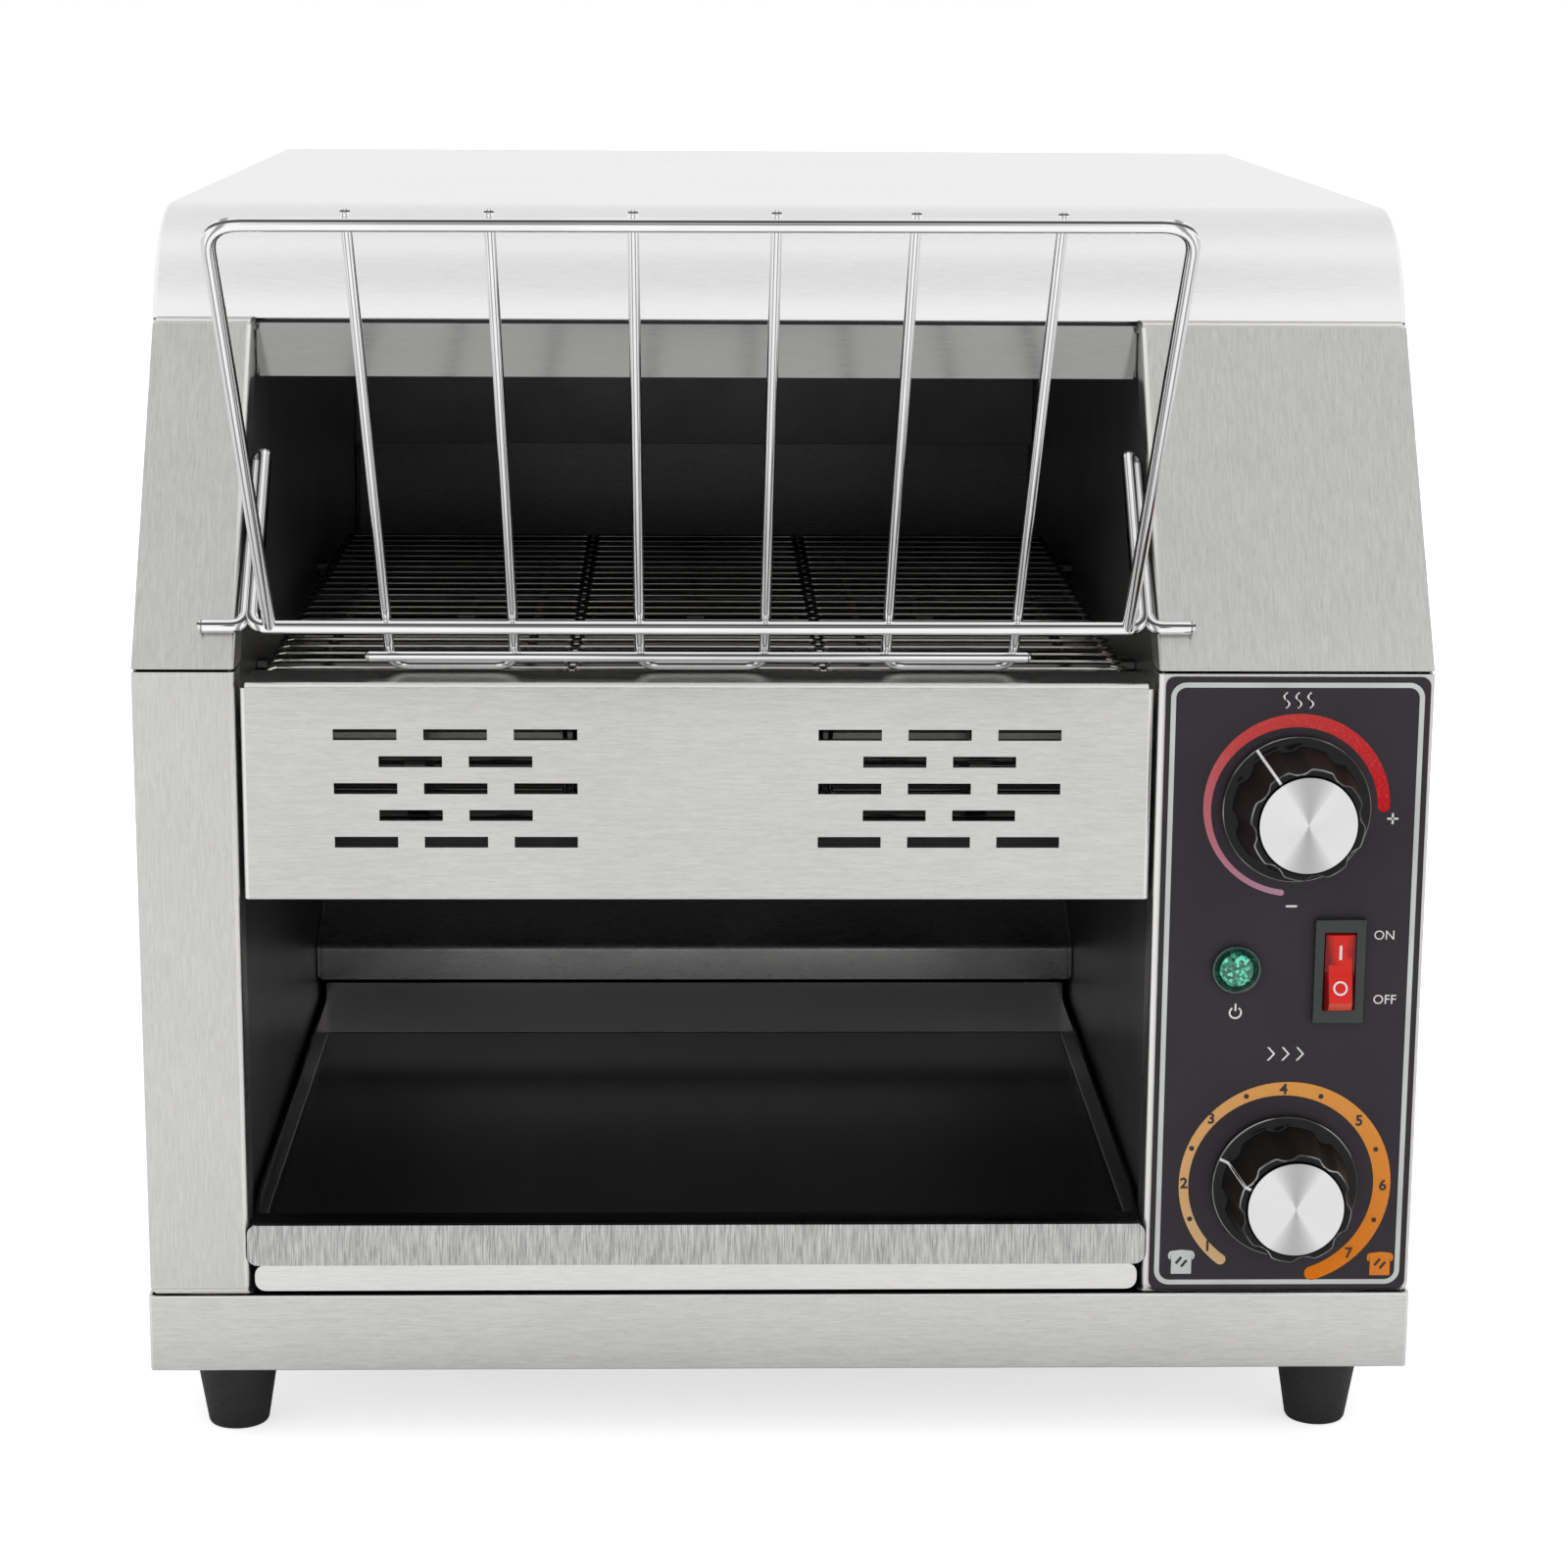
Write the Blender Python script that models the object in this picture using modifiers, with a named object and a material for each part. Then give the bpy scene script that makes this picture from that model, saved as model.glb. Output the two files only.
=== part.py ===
# Countertop conveyor toaster: a sheet-metal body with a slanted mouth, a wire belt between quartz
# tubes, a curved discharge chute, pull-out trays, a lift-off wire feed rack and a control panel.
# Metres, +Z up, front towards -Y, origin under the middle of the whole object on the floor.
import math

import bmesh
import bpy
from mathutils import Matrix, Vector

# Sheet, gaps and cuts
SHEET = 0.0008
CLEAR = 0.0003
OVERCUT = 0.004
SEAM = 0.0001

# Body
BODY_WIDTH = 0.368
BODY_DEPTH = 0.441
BODY_TOP = 0.3564
LEFT_POST_WIDTH = 0.029
COMPARTMENT_WIDTH = 0.0785
KINK_HEIGHT = 0.2326
GROOVE = 0.0008
SLANT_SETBACK = 0.0641
RETURN_FLANGE = 0.012

# Hood
HOOD_LAP = 0.00065
HOOD_BEND_RADIUS = 0.045
HOOD_BEND_ANGLE = 72.0
HOOD_LIP_STEP = 0.0021
HOOD_SIDE_DEPTH = 0.012
HOOD_HEM = 0.0015
HOOD_HEM_ANGLE = 1.4
HOOD_OVERCUT_ANGLE = 8
HOOD_BEND_STEPS = 10

# Base and feet
BASE_LAP = 0.0006
BASE_BOTTOM = 0.024
BASE_HEIGHT = 0.0233
BASE_GAP = 0.001
BASE_FRONT_PROUD = 0.0005
FOOT_TOP_WIDTH = 0.0255
FOOT_BOTTOM_WIDTH = 0.018
FOOT_CHAMFER = 0.0012
FOOT_INSET = 0.0226
FOOT_SETBACK = 0.022
BASE_SLOT_COUNT = 6

# Vents
VENT_LENGTH = 0.030
VENT_WIDTH = 0.004
VENT_PITCH = 0.011
VENT_COUNT = 9
SIDE_VENT_HEIGHT = 0.085
SIDE_VENT_FROM_BACK = 0.151
BACK_VENT_DROP = 0.0664
BACK_VENT_COLUMNS = 10

# Header strip and reflectors
HEADER_STEP = 0.0052
HEADER_DROP = 0.0173
HEADER_RISE = 0.0047
HEADER_SHELF = 0.012
UPPER_REFLECTOR_STEP = 0.0027
LOWER_REFLECTOR_DROP = 0.030
LOWER_REFLECTOR_FRONT = 0.014
LOWER_REFLECTOR_SHORT = 0.100
REFLECTOR_LIP = 0.006
BACK_SPACE = 0.037
WALL_RISE = 0.004
WALL_SLANT_SHORT = 0.006

# Front cover
COVER_GAP = 0.0011
COVER_DROP = 0.0033
COVER_HEIGHT = 0.0628
COVER_RETURN = 0.0197
COVER_SIDE_DEPTH = 0.012
COVER_EDGE_INSET = 0.002
COVER_STUD_RADIUS = 0.003
SLOT_LENGTH_SHARE = 0.0693
SLOT_PITCH_SHARE = 0.09872
SLOT_GROUP_SHARE = 0.26558
SLOT_HEIGHT = 0.0031
SLOT_ROW_PITCH = 0.0078
SLOT_ROWS = (3, 2, 3, 2, 3)
SLOT_TOP_MARGIN = 0.0149

# Belt and sprocketed shafts
BELT_GAP = 0.00525
BELT_PITCH = 0.0115
BELT_WIRE = 0.0015
BELT_RUN_PITCHES = 22
SPROCKET_TEETH = 12
BELT_JOINT_SHARE = 0.146
BELT_DROP = 0.0046
FRONT_SHAFT_SETBACK = 0.029
HOOK_ROOT = 0.0032
HOOK_TIP = 0.0060
HOOK_REACH = 0.0010
HOOK_DIP = 0.00175
EDGE_BOW = 0.0015
EDGE_HOOK = 0.0034
EDGE_LEG_SHORT = 0.0026
SPROCKET_WIDTH = 0.006
SPROCKET_SHARE = 0.323
TOOTH_RISE = 0.0004
TOOTH_ROOT_ANGLE = 5.5
SHAFT_WIDTH = 0.008
SHAFT_OVERHANG = 0.005
DRIVE_OVERHANG = 0.012
BUSH_WALL = 0.002
BUSH_FLANGE_WIDTH = 0.018
BUSH_FLANGE = 0.002
SUPPORT_ROD = 0.003
SUPPORT_BAR = 0.005
SUPPORT_ROD_SHARES = (-0.44, -0.20, 0.20, 0.44)
SUPPORT_FRONT = 0.054
SUPPORT_BACK = 0.257
SUPPORT_BAR_INSET = 0.010

# Heaters
TUBE_WIDTH = 0.010
TUBE_CAP_WIDTH = 0.007
TUBE_CAP_LENGTH = 0.006
UPPER_TUBE_DROP = 0.012
UPPER_TUBE_SETBACKS = (0.105, 0.175, 0.245)
LOWER_TUBE_DROP = 0.0266
LOWER_TUBE_SETBACKS = (0.105, 0.205)
BRACKET_FRONT = 0.090
BRACKET_BACK = 0.262
BRACKET_MARGIN = 0.010

# Chute
CHUTE_RADIUS = 0.120
CHUTE_RISE = 0.0134
CHUTE_SWEEP = 70.0
CHUTE_LIP_SETBACK = 0.217
CHUTE_LIP_BOTTOM = 0.0825

# Trays and rails
TRAY_GAP = 0.0008
TRAY_FLOOR = 0.0602
TRAY_SIDE_TOP = 0.0735
TRAY_BACK_TOP = 0.079
TRAY_BACK_SETBACK = 0.226
TRAY_LEDGE_TOP = 0.069
TRAY_LEDGE_DEPTH = 0.010
TRAY_LIP_LAP = 0.00055
TRAY_LIP_BOTTOM = 0.0567
TRAY_LIP_RADIUS = 0.0028
CRUMB_STRIP_GAP = 0.00135
CRUMB_STRIP_BOTTOM = 0.0485
CRUMB_STRIP_TOP = 0.0564
CRUMB_STRIP_RADIUS = 0.003
CRUMB_GAP = 0.00325
CRUMB_FLOOR = 0.049
CRUMB_SIDE_DROP = 0.0006
CRUMB_SHORT = 0.008
RAIL_FRONT = 0.0145
RAIL_SHORT = 0.004
RAIL_SHELF = 0.007

# Feed rack
RACK_REACH = 0.10175
RACK_RISE = 0.0068
RACK_FRAME_WIRE = 0.0035
RACK_GAP_RIGHT = 0.0069
RACK_GAP_LEFT = 0.008
RACK_SIDE_DRAW = 0.0020
RACK_CORNER_RADIUS = 0.009
RACK_BAR_WIRE = 0.004
RACK_WIRE = 0.003
RACK_WIRE_SHARES = (-0.33685, -0.20058, -0.06392, 0.07274, 0.20595, 0.34607)
RACK_NUB = 0.0035
RACK_LOW_DROP = 0.0013
RACK_BEND_RADIUS = 0.0055
RACK_WELD = 0.0006
RACK_ROD_WIRE = 0.0031
RACK_ROD_SHARES = (-0.3637, 0.3656)
RACK_ROD_DROP = 0.0135
HAIRPIN_GAP = 0.00525
HAIRPIN_SPREAD = 0.0028
HAIRPIN_TOP_SHARE = 0.62828
HAIRPIN_TOP_INSET = 0.00781
HAIRPIN_DEPTH = 0.00304
STUB_LENGTH = 0.0135
STUB_ALONG = 0.0128
STUB_PROUD = 0.00241
STUB_STEP = 0.00233

# Control panel
OVERLAY_LEFT_MARGIN = 0.0021
OVERLAY_RIGHT_MARGIN = 0.001
OVERLAY_BOTTOM_MARGIN = 0.0004
OVERLAY_TOP_MARGIN = 0.0012
OVERLAY_RADIUS = 0.0025
OVERLAY_THICK = 0.0004
HEAT_KNOB_SHARES = (0.50398, 0.79310)
SPEED_KNOB_SHARES = (0.51194, 0.17679)
KNOB_SKIRT_WIDTH = 0.0425
KNOB_SKIRT = 0.0026
KNOB_BASE_WIDTH = 0.0370
KNOB_TOP_WIDTH = 0.0325
KNOB_FACE = 0.0228
KNOB_STANDOFF = 0.0005
KNOB_FLUTES = 8
FLUTE_START_ANGLE = 10
FLUTE_RADIUS = 0.005
FLUTE_DEPTH = 0.0014
CAP_WIDTH = 0.0276
CAP_THICK = 0.0014
CAP_PROUD = 0.0008
SPINDLE_WIDTH = 0.006
SPINDLE_DEPTH = 0.007
SPINDLE_GRIP = 0.014
CONTROL_WIDTH = 0.028
CONTROL_DEPTH = 0.016
CONTROL_BUSH = 0.0095
LAMP_SHARES = (0.29973, 0.53257)
LAMP_BEZEL_WIDTH = 0.0137
LAMP_BEZEL = 0.0014
LAMP_LENS_WIDTH = 0.0098
LAMP_LENS_PROUD = 0.0008
LAMP_LENS_DEPTH = 0.0045
LAMP_BARREL_WIDTH = 0.0118
LAMP_DEPTH = 0.016
SWITCH_SHARES = (0.69231, 0.53065)
BEZEL_WIDTH = 0.0146
BEZEL_HEIGHT = 0.0308
BEZEL_PROUD = 0.0018
ROCKER_WIDTH = 0.0103
ROCKER_HEIGHT = 0.0226
ROCKER_PROUD = 0.0022
ROCKER_DIP = 0.0009
ROCKER_DEPTH = 0.006
ROCKER_TILT = 10.0
ROCKER_ROOM = 0.0005
SWITCH_WALL = 0.0012
SWITCH_DEPTH = 0.022

# Drive, fan and wiring parts
MOTOR_WIDTH = 0.050
MOTOR_LENGTH = 0.026
GEARBOX_WIDTH = 0.044
GEARBOX_LENGTH = 0.012
MOTOR_STANDOFF = 0.023
MOTOR_POST_WIDTH = 0.006
MOTOR_POST_RADIUS = 0.017
MOTOR_POSTS = 3
COUPLING_WIDTH = 0.014
COUPLING_LENGTH = 0.012
OUTPUT_WIDTH = 0.007
OUTPUT_ENTRY = 0.006
FAN_HEIGHT = 0.150
FAN_SIZE = 0.060
FAN_DEPTH = 0.025
FAN_BORE = 0.056
FAN_HUB_WIDTH = 0.026
FAN_BLADES = 7
FAN_BLADE_THICK = 0.0014
FAN_BLADE_CHORD = 0.016
FAN_BLADE_PITCH = 38.0
FAN_TIP_GAP = 0.001
FAN_STRUT = 0.003
FAN_HUB_PLATE = 0.003
GRILLE_RINGS = (0.007, 0.0150, 0.0235)
GRILLE_SLOT = 0.0045
GRILLE_SPANS = 3
GRILLE_SPAN_ANGLE = 96.0
GLAND_HEIGHT = 0.075
GLAND_WIDTH = 0.022
GLAND_THREAD = 0.0154
GLAND_BORE = 0.008
GLAND_FLANGE = 0.005
GLAND_REACH = 0.012
GLAND_STEP = 0.0011
GLAND_NUT = 0.005
TERMINAL_SIZE = (0.046, 0.016, 0.018)
TERMINAL_FROM_BACK = 0.053
TERMINAL_WELLS = 3
TERMINAL_WELL_RADIUS = 0.0028
TERMINAL_WELL_DEPTH = 0.007

# Places in plan
FRONT = (RACK_REACH - BODY_DEPTH - GLAND_REACH) / 2
BACK = FRONT + BODY_DEPTH
HALF_WIDTH = BODY_WIDTH / 2
HALF_HOOD = HALF_WIDTH + HOOD_LAP
HALF_BASE = HALF_WIDTH + BASE_LAP
MOUTH_LEFT = LEFT_POST_WIDTH - HALF_WIDTH
MOUTH_RIGHT = HALF_WIDTH - COMPARTMENT_WIDTH
MOUTH_CENTRE = (MOUTH_LEFT + MOUTH_RIGHT) / 2
HALF_MOUTH = (MOUTH_RIGHT - MOUTH_LEFT) / 2
WALL_INSIDE = HALF_MOUTH + SHEET + CLEAR
WALL_OUTSIDE = WALL_INSIDE + SHEET
SIDE_OUTSIDE = HALF_HOOD - SHEET - CLEAR
SIDE_INSIDE = SIDE_OUTSIDE - SHEET
COMPARTMENT_MIDDLE = (MOUTH_CENTRE + WALL_OUTSIDE + SIDE_INSIDE) / 2
HEADER_FRONT = FRONT + SLANT_SETBACK + HEADER_STEP
UPPER_REFLECTOR_FRONT = HEADER_FRONT + UPPER_REFLECTOR_STEP
HEAT_SHIELD = BACK - BACK_SPACE
SIDE_VENT_START = BACK - SIDE_VENT_FROM_BACK
COVER_WIDTH = 2 * (HALF_MOUTH - COVER_GAP)
BELT_WIDTH = 2 * (HALF_MOUTH - BELT_GAP)
TRAY_WIDTH = 2 * (HALF_MOUTH - TRAY_GAP)
CRUMB_WIDTH = 2 * (HALF_MOUTH - CRUMB_GAP)

# Heights
BASE_TOP = BASE_BOTTOM + BASE_HEIGHT
BODY_FLOOR = BASE_TOP + BASE_GAP
SLANT_TOP_HEIGHT = BODY_TOP - HOOD_BEND_RADIUS * (1 - math.cos(math.radians(HOOD_BEND_ANGLE)))
HEADER_BOTTOM = SLANT_TOP_HEIGHT - HEADER_DROP
HEADER_TOP = SLANT_TOP_HEIGHT + HEADER_RISE
WALL_TOP = HEADER_TOP + WALL_RISE
COVER_TOP = KINK_HEIGHT - COVER_DROP
COVER_BOTTOM = COVER_TOP - COVER_HEIGHT
BELT_TOP = KINK_HEIGHT - BELT_DROP
UPPER_TUBE_HEIGHT = HEADER_TOP - UPPER_TUBE_DROP
LOWER_TUBE_HEIGHT = KINK_HEIGHT - LOWER_TUBE_DROP
LOWER_REFLECTOR_HEIGHT = LOWER_TUBE_HEIGHT - LOWER_REFLECTOR_DROP
CRUMB_SIDE_TOP = CRUMB_STRIP_TOP - CRUMB_SIDE_DROP

# The slanted face and the hood's bend
SLANT_RISE = SLANT_TOP_HEIGHT - KINK_HEIGHT
SLANT_LENGTH = math.hypot(SLANT_SETBACK, SLANT_RISE)
SLANT_UP = Vector((0, SLANT_SETBACK, SLANT_RISE)) / SLANT_LENGTH
SLANT_IN = Vector((0, SLANT_RISE, -SLANT_SETBACK)) / SLANT_LENGTH
HOOD_BEND_BACK = SLANT_SETBACK + HOOD_LIP_STEP + HOOD_BEND_RADIUS * math.sin(math.radians(HOOD_BEND_ANGLE))
BEND_CENTRE = (FRONT + HOOD_BEND_BACK, BODY_TOP - HOOD_BEND_RADIUS)

# The belt's loop
PITCH_RADIUS = SPROCKET_TEETH * BELT_PITCH / (2 * math.pi)
SHAFT_HEIGHT = BELT_TOP - PITCH_RADIUS
FRONT_SHAFT = FRONT + FRONT_SHAFT_SETBACK
BACK_SHAFT = FRONT_SHAFT + BELT_RUN_PITCHES * BELT_PITCH
BELT_LINKS = 2 * BELT_RUN_PITCHES + SPROCKET_TEETH

# The control panel
OVERLAY_LEFT = MOUTH_RIGHT + OVERLAY_LEFT_MARGIN
OVERLAY_RIGHT = HALF_WIDTH - OVERLAY_RIGHT_MARGIN
OVERLAY_BOTTOM = BODY_FLOOR + OVERLAY_BOTTOM_MARGIN
OVERLAY_TOP = KINK_HEIGHT - OVERLAY_TOP_MARGIN
OVERLAY_FACE = FRONT - CLEAR - OVERLAY_THICK
PANEL_FACE = OVERLAY_FACE - CLEAR


def on_panel(shares):
    """A place on the panel as (x, z), from its shares of the panel's width and height."""
    across_share, up_share = shares
    return (OVERLAY_LEFT + across_share * (OVERLAY_RIGHT - OVERLAY_LEFT),
            OVERLAY_BOTTOM + up_share * (OVERLAY_TOP - OVERLAY_BOTTOM))


HEAT_KNOB = on_panel(HEAT_KNOB_SHARES)
SPEED_KNOB = on_panel(SPEED_KNOB_SHARES)
LAMP = on_panel(LAMP_SHARES)
SWITCH = on_panel(SWITCH_SHARES)
FAN_CENTRE = (COMPARTMENT_MIDDLE, FAN_HEIGHT)
GLAND_CENTRE = (COMPARTMENT_MIDDLE, GLAND_HEIGHT)

KNOB_ROUND = 28
ROUND = 24
MEDIUM_ROUND = 14
SMALL_ROUND = 12
TINY_ROUND = 8
SIDES = (("left", -1), ("right", 1))

# Finishes as colour, roughness and metallic value
STEEL = ((0.62, 0.62, 0.61), 0.32, 1.0)
BRIGHT_STEEL = ((0.75, 0.75, 0.74), 0.22, 1.0)
DARK_STEEL = ((0.22, 0.21, 0.20), 0.45, 1.0)
CHROME = ((0.82, 0.82, 0.84), 0.10, 1.0)
BELT_STEEL = ((0.45, 0.42, 0.38), 0.30, 1.0)
ALUMINISED = ((0.55, 0.55, 0.55), 0.40, 1.0)
BLACK_PANEL = ((0.035, 0.033, 0.036), 0.35, 0.0)
BLACK_PLASTIC = ((0.02, 0.02, 0.02), 0.30, 0.0)
RUBBER = ((0.02, 0.02, 0.02), 0.80, 0.0)
RED_PLASTIC = ((0.75, 0.02, 0.02), 0.25, 0.0)
GREEN_LENS = ((0.02, 0.45, 0.25), 0.20, 0.0)
QUARTZ = ((0.80, 0.78, 0.72), 0.15, 0.0)
CERAMIC = ((0.85, 0.83, 0.78), 0.60, 0.0)
BRASS = ((0.70, 0.52, 0.25), 0.30, 1.0)


# Scene

def clear_scene():
    for obj in list(bpy.data.objects):
        bpy.data.objects.remove(obj)


def collection(name):
    made = bpy.data.collections.new(name)
    bpy.context.scene.collection.children.link(made)
    return made


def hide_cutter(obj):
    """Moves an object that only cuts or joins out of the model."""
    PARTS.objects.unlink(obj)
    CUTTERS.objects.link(obj)
    obj.hide_render = True
    obj.display_type = "WIRE"


def add_object(name, data, matrix=None):
    obj = bpy.data.objects.new(name, data)
    PARTS.objects.link(obj)
    if matrix is not None:
        obj.matrix_world = matrix
    return obj


def dress(obj, finish):
    """Gives a sub-part its own material."""
    colour, roughness, metallic = finish
    material = bpy.data.materials.new(obj.name)
    material.use_nodes = True
    shader = material.node_tree.nodes["Principled BSDF"]
    shader.inputs["Base Color"].default_value = (*colour, 1)
    shader.inputs["Roughness"].default_value = roughness
    shader.inputs["Metallic"].default_value = metallic
    obj.data.materials.clear()
    obj.data.materials.append(material)
    return obj


# Shapes

def evaluated_mesh(obj, weld):
    """The object's shape as the viewport shows it, with loose caps welded."""
    bpy.context.view_layer.update()
    mesh = bpy.data.meshes.new_from_object(obj.evaluated_get(bpy.context.evaluated_depsgraph_get()))
    made = bmesh.new()
    made.from_mesh(mesh)
    bmesh.ops.remove_doubles(made, verts=made.verts, dist=weld)
    made.to_mesh(mesh)
    made.free()
    return mesh


def curve_to_mesh(name, curve, matrix, weld):
    guide = add_object(name + " guide", curve, matrix)
    mesh = evaluated_mesh(guide, weld)
    bpy.data.objects.remove(guide)
    return add_object(name, mesh, matrix)


def add_spline(curve, points, closed):
    spline = curve.splines.new("POLY")
    spline.points.add(len(points) - 1)
    for place, point in zip(spline.points, points):
        place.co = (*point, *[0] * (3 - len(point)), 1)
    spline.use_cyclic_u = closed


def across(axis, low, high):
    """Frame and thickness of a plate whose faces lie at two places along an axis."""
    middle = (low + high) / 2
    frames = {
        "X": Matrix(((0, 0, 1, middle), (1, 0, 0, 0), (0, 1, 0, 0), (0, 0, 0, 1))),
        "Y": Matrix(((1, 0, 0, 0), (0, 0, -1, middle), (0, 1, 0, 0), (0, 0, 0, 1))),
        "Z": Matrix.Translation((0, 0, middle)),
    }
    return frames[axis], high - low


def plate(name, outline, place, holes=()):
    """A flat outline with holes, thickened; place is a frame and a thickness."""
    matrix, thickness = place
    curve = bpy.data.curves.new(name, "CURVE")
    curve.dimensions = "2D"
    curve.fill_mode = "BOTH"
    curve.extrude = thickness / 2
    for points in (outline, *holes):
        add_spline(curve, points, True)
    return curve_to_mesh(name, curve, matrix, SHEET / 100)


def rectangle(left, bottom, right, top):
    return [(left, bottom), (right, bottom), (right, top), (left, top)]


def arc(centre, radius, start, stop, steps):
    """Points round a centre from one angle to another, in degrees."""
    angles = [math.radians(start + (stop - start) * step / steps) for step in range(steps + 1)]
    return [(centre[0] + radius * math.cos(angle), centre[1] + radius * math.sin(angle)) for angle in angles]


def circle(centre, radius, steps=ROUND):
    return arc(centre, radius, 0, 360, steps)[:-1]


def rounded(left, bottom, right, top, radius, steps=4):
    corners = ((right - radius, top - radius, 0), (left + radius, top - radius, 90),
               (left + radius, bottom + radius, 180), (right - radius, bottom + radius, 270))
    outline = []
    for x, z, start in corners:
        outline += arc((x, z), radius, start, start + 90, steps)
    return outline


def slot(centre, length, width, upright=False):
    """A square-ended punched slot."""
    reach, rise = length / 2, width / 2
    if upright:
        reach, rise = rise, reach
    return rectangle(centre[0] - reach, centre[1] - rise, centre[0] + reach, centre[1] + rise)


def box(name, low, high):
    made = bmesh.new()
    bmesh.ops.create_cube(made, size=1)
    size = Vector(high) - Vector(low)
    middle = (Vector(high) + Vector(low)) / 2
    bmesh.ops.transform(made, verts=made.verts, matrix=Matrix.Diagonal((*size, 1)))
    mesh = bpy.data.meshes.new(name)
    made.to_mesh(mesh)
    made.free()
    return add_object(name, mesh, Matrix.Translation(middle))


def rod(name, start, end, radius, end_radius=None, steps=SMALL_ROUND, turn=0):
    """A straight bar or cone frustum between two points."""
    start, end = Vector(start), Vector(end)
    along = end - start
    made = bmesh.new()
    bmesh.ops.create_cone(made, cap_ends=True, segments=steps, radius1=radius,
                          radius2=radius if end_radius is None else end_radius, depth=along.length)
    mesh = bpy.data.meshes.new(name)
    made.to_mesh(mesh)
    made.free()
    smooth(mesh)
    spin = Matrix.Rotation(math.radians(turn), 4, "Z")
    aim = along.to_track_quat("Z", "Y").to_matrix().to_4x4()
    return add_object(name, mesh, Matrix.Translation((start + end) / 2) @ aim @ spin)


def smooth(mesh):
    mesh.shade_smooth()
    mesh.set_sharp_from_angle(angle=math.radians(35))


TURNED_FRAMES = {
    "Z": Matrix.Identity(4),
    "-Y": Matrix.Rotation(math.radians(90), 4, "X"),
    "X": Matrix.Rotation(math.radians(90), 4, "Y"),
    "-X": Matrix.Rotation(math.radians(-90), 4, "Y"),
}


def turned(name, profile, centre, axis, steps=ROUND):
    """Revolves (radius, height) points, outer side top to bottom, about an axis through a centre."""
    mesh = bpy.data.meshes.new(name)
    made = bmesh.new()
    verts = [made.verts.new((radius, 0, height)) for radius, height in profile]
    closed = min(radius for radius, height in profile) > 0
    for first, second in zip(verts, verts[1:] + verts[:closed]):
        made.edges.new((first, second))
    made.to_mesh(mesh)
    made.free()
    obj = add_object(name, mesh, Matrix.Translation(centre) @ TURNED_FRAMES[axis])
    screw = obj.modifiers.new("Turn", "SCREW")
    screw.steps = steps
    screw.render_steps = steps
    screw.use_merge_vertices = True
    screw.merge_threshold = SHEET / 100
    screw.use_smooth_shade = False
    return obj


def wire(name, points, radius, closed=False, roundness=1):
    curve = bpy.data.curves.new(name, "CURVE")
    curve.dimensions = "3D"
    curve.bevel_depth = radius
    curve.bevel_resolution = roundness
    curve.use_fill_caps = True
    add_spline(curve, points, closed)
    made = curve_to_mesh(name, curve, Matrix.Identity(4), radius / 100)
    smooth(made.data)
    return made


def combine(obj, tool, operation):
    modifier = obj.modifiers.new(tool.name, "BOOLEAN")
    modifier.operation = operation
    modifier.object = tool
    hide_cutter(tool)
    return obj


def join(obj, *tools):
    for tool in tools:
        combine(obj, tool, "UNION")
    return obj


def cut(obj, *tools):
    for tool in tools:
        combine(obj, tool, "DIFFERENCE")
    return obj


# Places

def on_slant(along, inward=0, x=0):
    """A point measured up the slanted face from the bend line, and in from it."""
    return Vector((x, FRONT, KINK_HEIGHT)) + SLANT_UP * along + SLANT_IN * inward


def mouth_x(side, distance):
    return MOUTH_CENTRE + side * distance


def span(side, near, far):
    """Two distances from the mouth's middle as x values, lower one first."""
    return sorted((mouth_x(side, near), mouth_x(side, far)))


def under_hood(depth, start=0, steps=6):
    """The hood's bend, this far under its outer skin, from its lip to its flat top."""
    return arc(BEND_CENTRE, HOOD_BEND_RADIUS - depth, 90 + HOOD_BEND_ANGLE + start, 90, steps)


def body_side_outline(inset, short, top, back, floor):
    """Side view of the body, set in from its front faces; its slanted edge stops short of the lip."""
    low = FRONT + inset
    kink = on_slant(0, inset)
    kink_height = kink.z - (kink.y - low) * SLANT_RISE / SLANT_SETBACK
    high = on_slant(SLANT_LENGTH - short, inset)
    return [(low, floor), (low, kink_height), (high.y, high.z), *top, (back, top[-1][1]), (back, floor)]


# Skins

def side_panel(name, side):
    inset = SHEET + CLEAR
    top = under_hood(inset)
    outline = body_side_outline(inset, inset, top, BACK - SHEET - CLEAR, BODY_FLOOR)
    vents = [slot((SIDE_VENT_START + index * VENT_PITCH, SIDE_VENT_HEIGHT), VENT_LENGTH, VENT_WIDTH, True)
             for index in range(VENT_COUNT)]
    low, high = sorted((side * SIDE_INSIDE, side * SIDE_OUTSIDE))
    dress(plate(name, outline, across("X", low, high), vents), STEEL)


def angle_outline(outer, mouth, depth):
    """Section of a front sheet with its return flange on the mouth side; depth runs inward."""
    back = mouth + math.copysign(SHEET, outer - mouth)
    return [(outer, 0), (mouth, 0), (mouth, depth), (back, depth), (back, SHEET), (outer, SHEET)]


def front_sheet(name, side, lower):
    outer = side * HALF_WIDTH
    section = angle_outline(outer, mouth_x(side, HALF_MOUTH), RETURN_FLANGE)
    if lower:
        top = KINK_HEIGHT - GROOVE / 2
        matrix = Matrix.Translation((0, FRONT, (BODY_FLOOR + top) / 2))
        return plate(name, section, (matrix, top - BODY_FLOOR))
    columns = (Vector((1, 0, 0)), SLANT_IN, SLANT_UP)
    matrix = Matrix.Translation(on_slant(SLANT_LENGTH / 2)) @ Matrix(columns).transposed().to_4x4()
    sheet = plate(name, section, (matrix, SLANT_LENGTH))
    low = Vector((-HALF_WIDTH - OVERCUT, FRONT - OVERCUT, KINK_HEIGHT - RETURN_FLANGE))
    return cut(sheet, box("bend line", low, (-low.x, FRONT + 2 * RETURN_FLANGE, KINK_HEIGHT + GROOVE / 2)))


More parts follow.
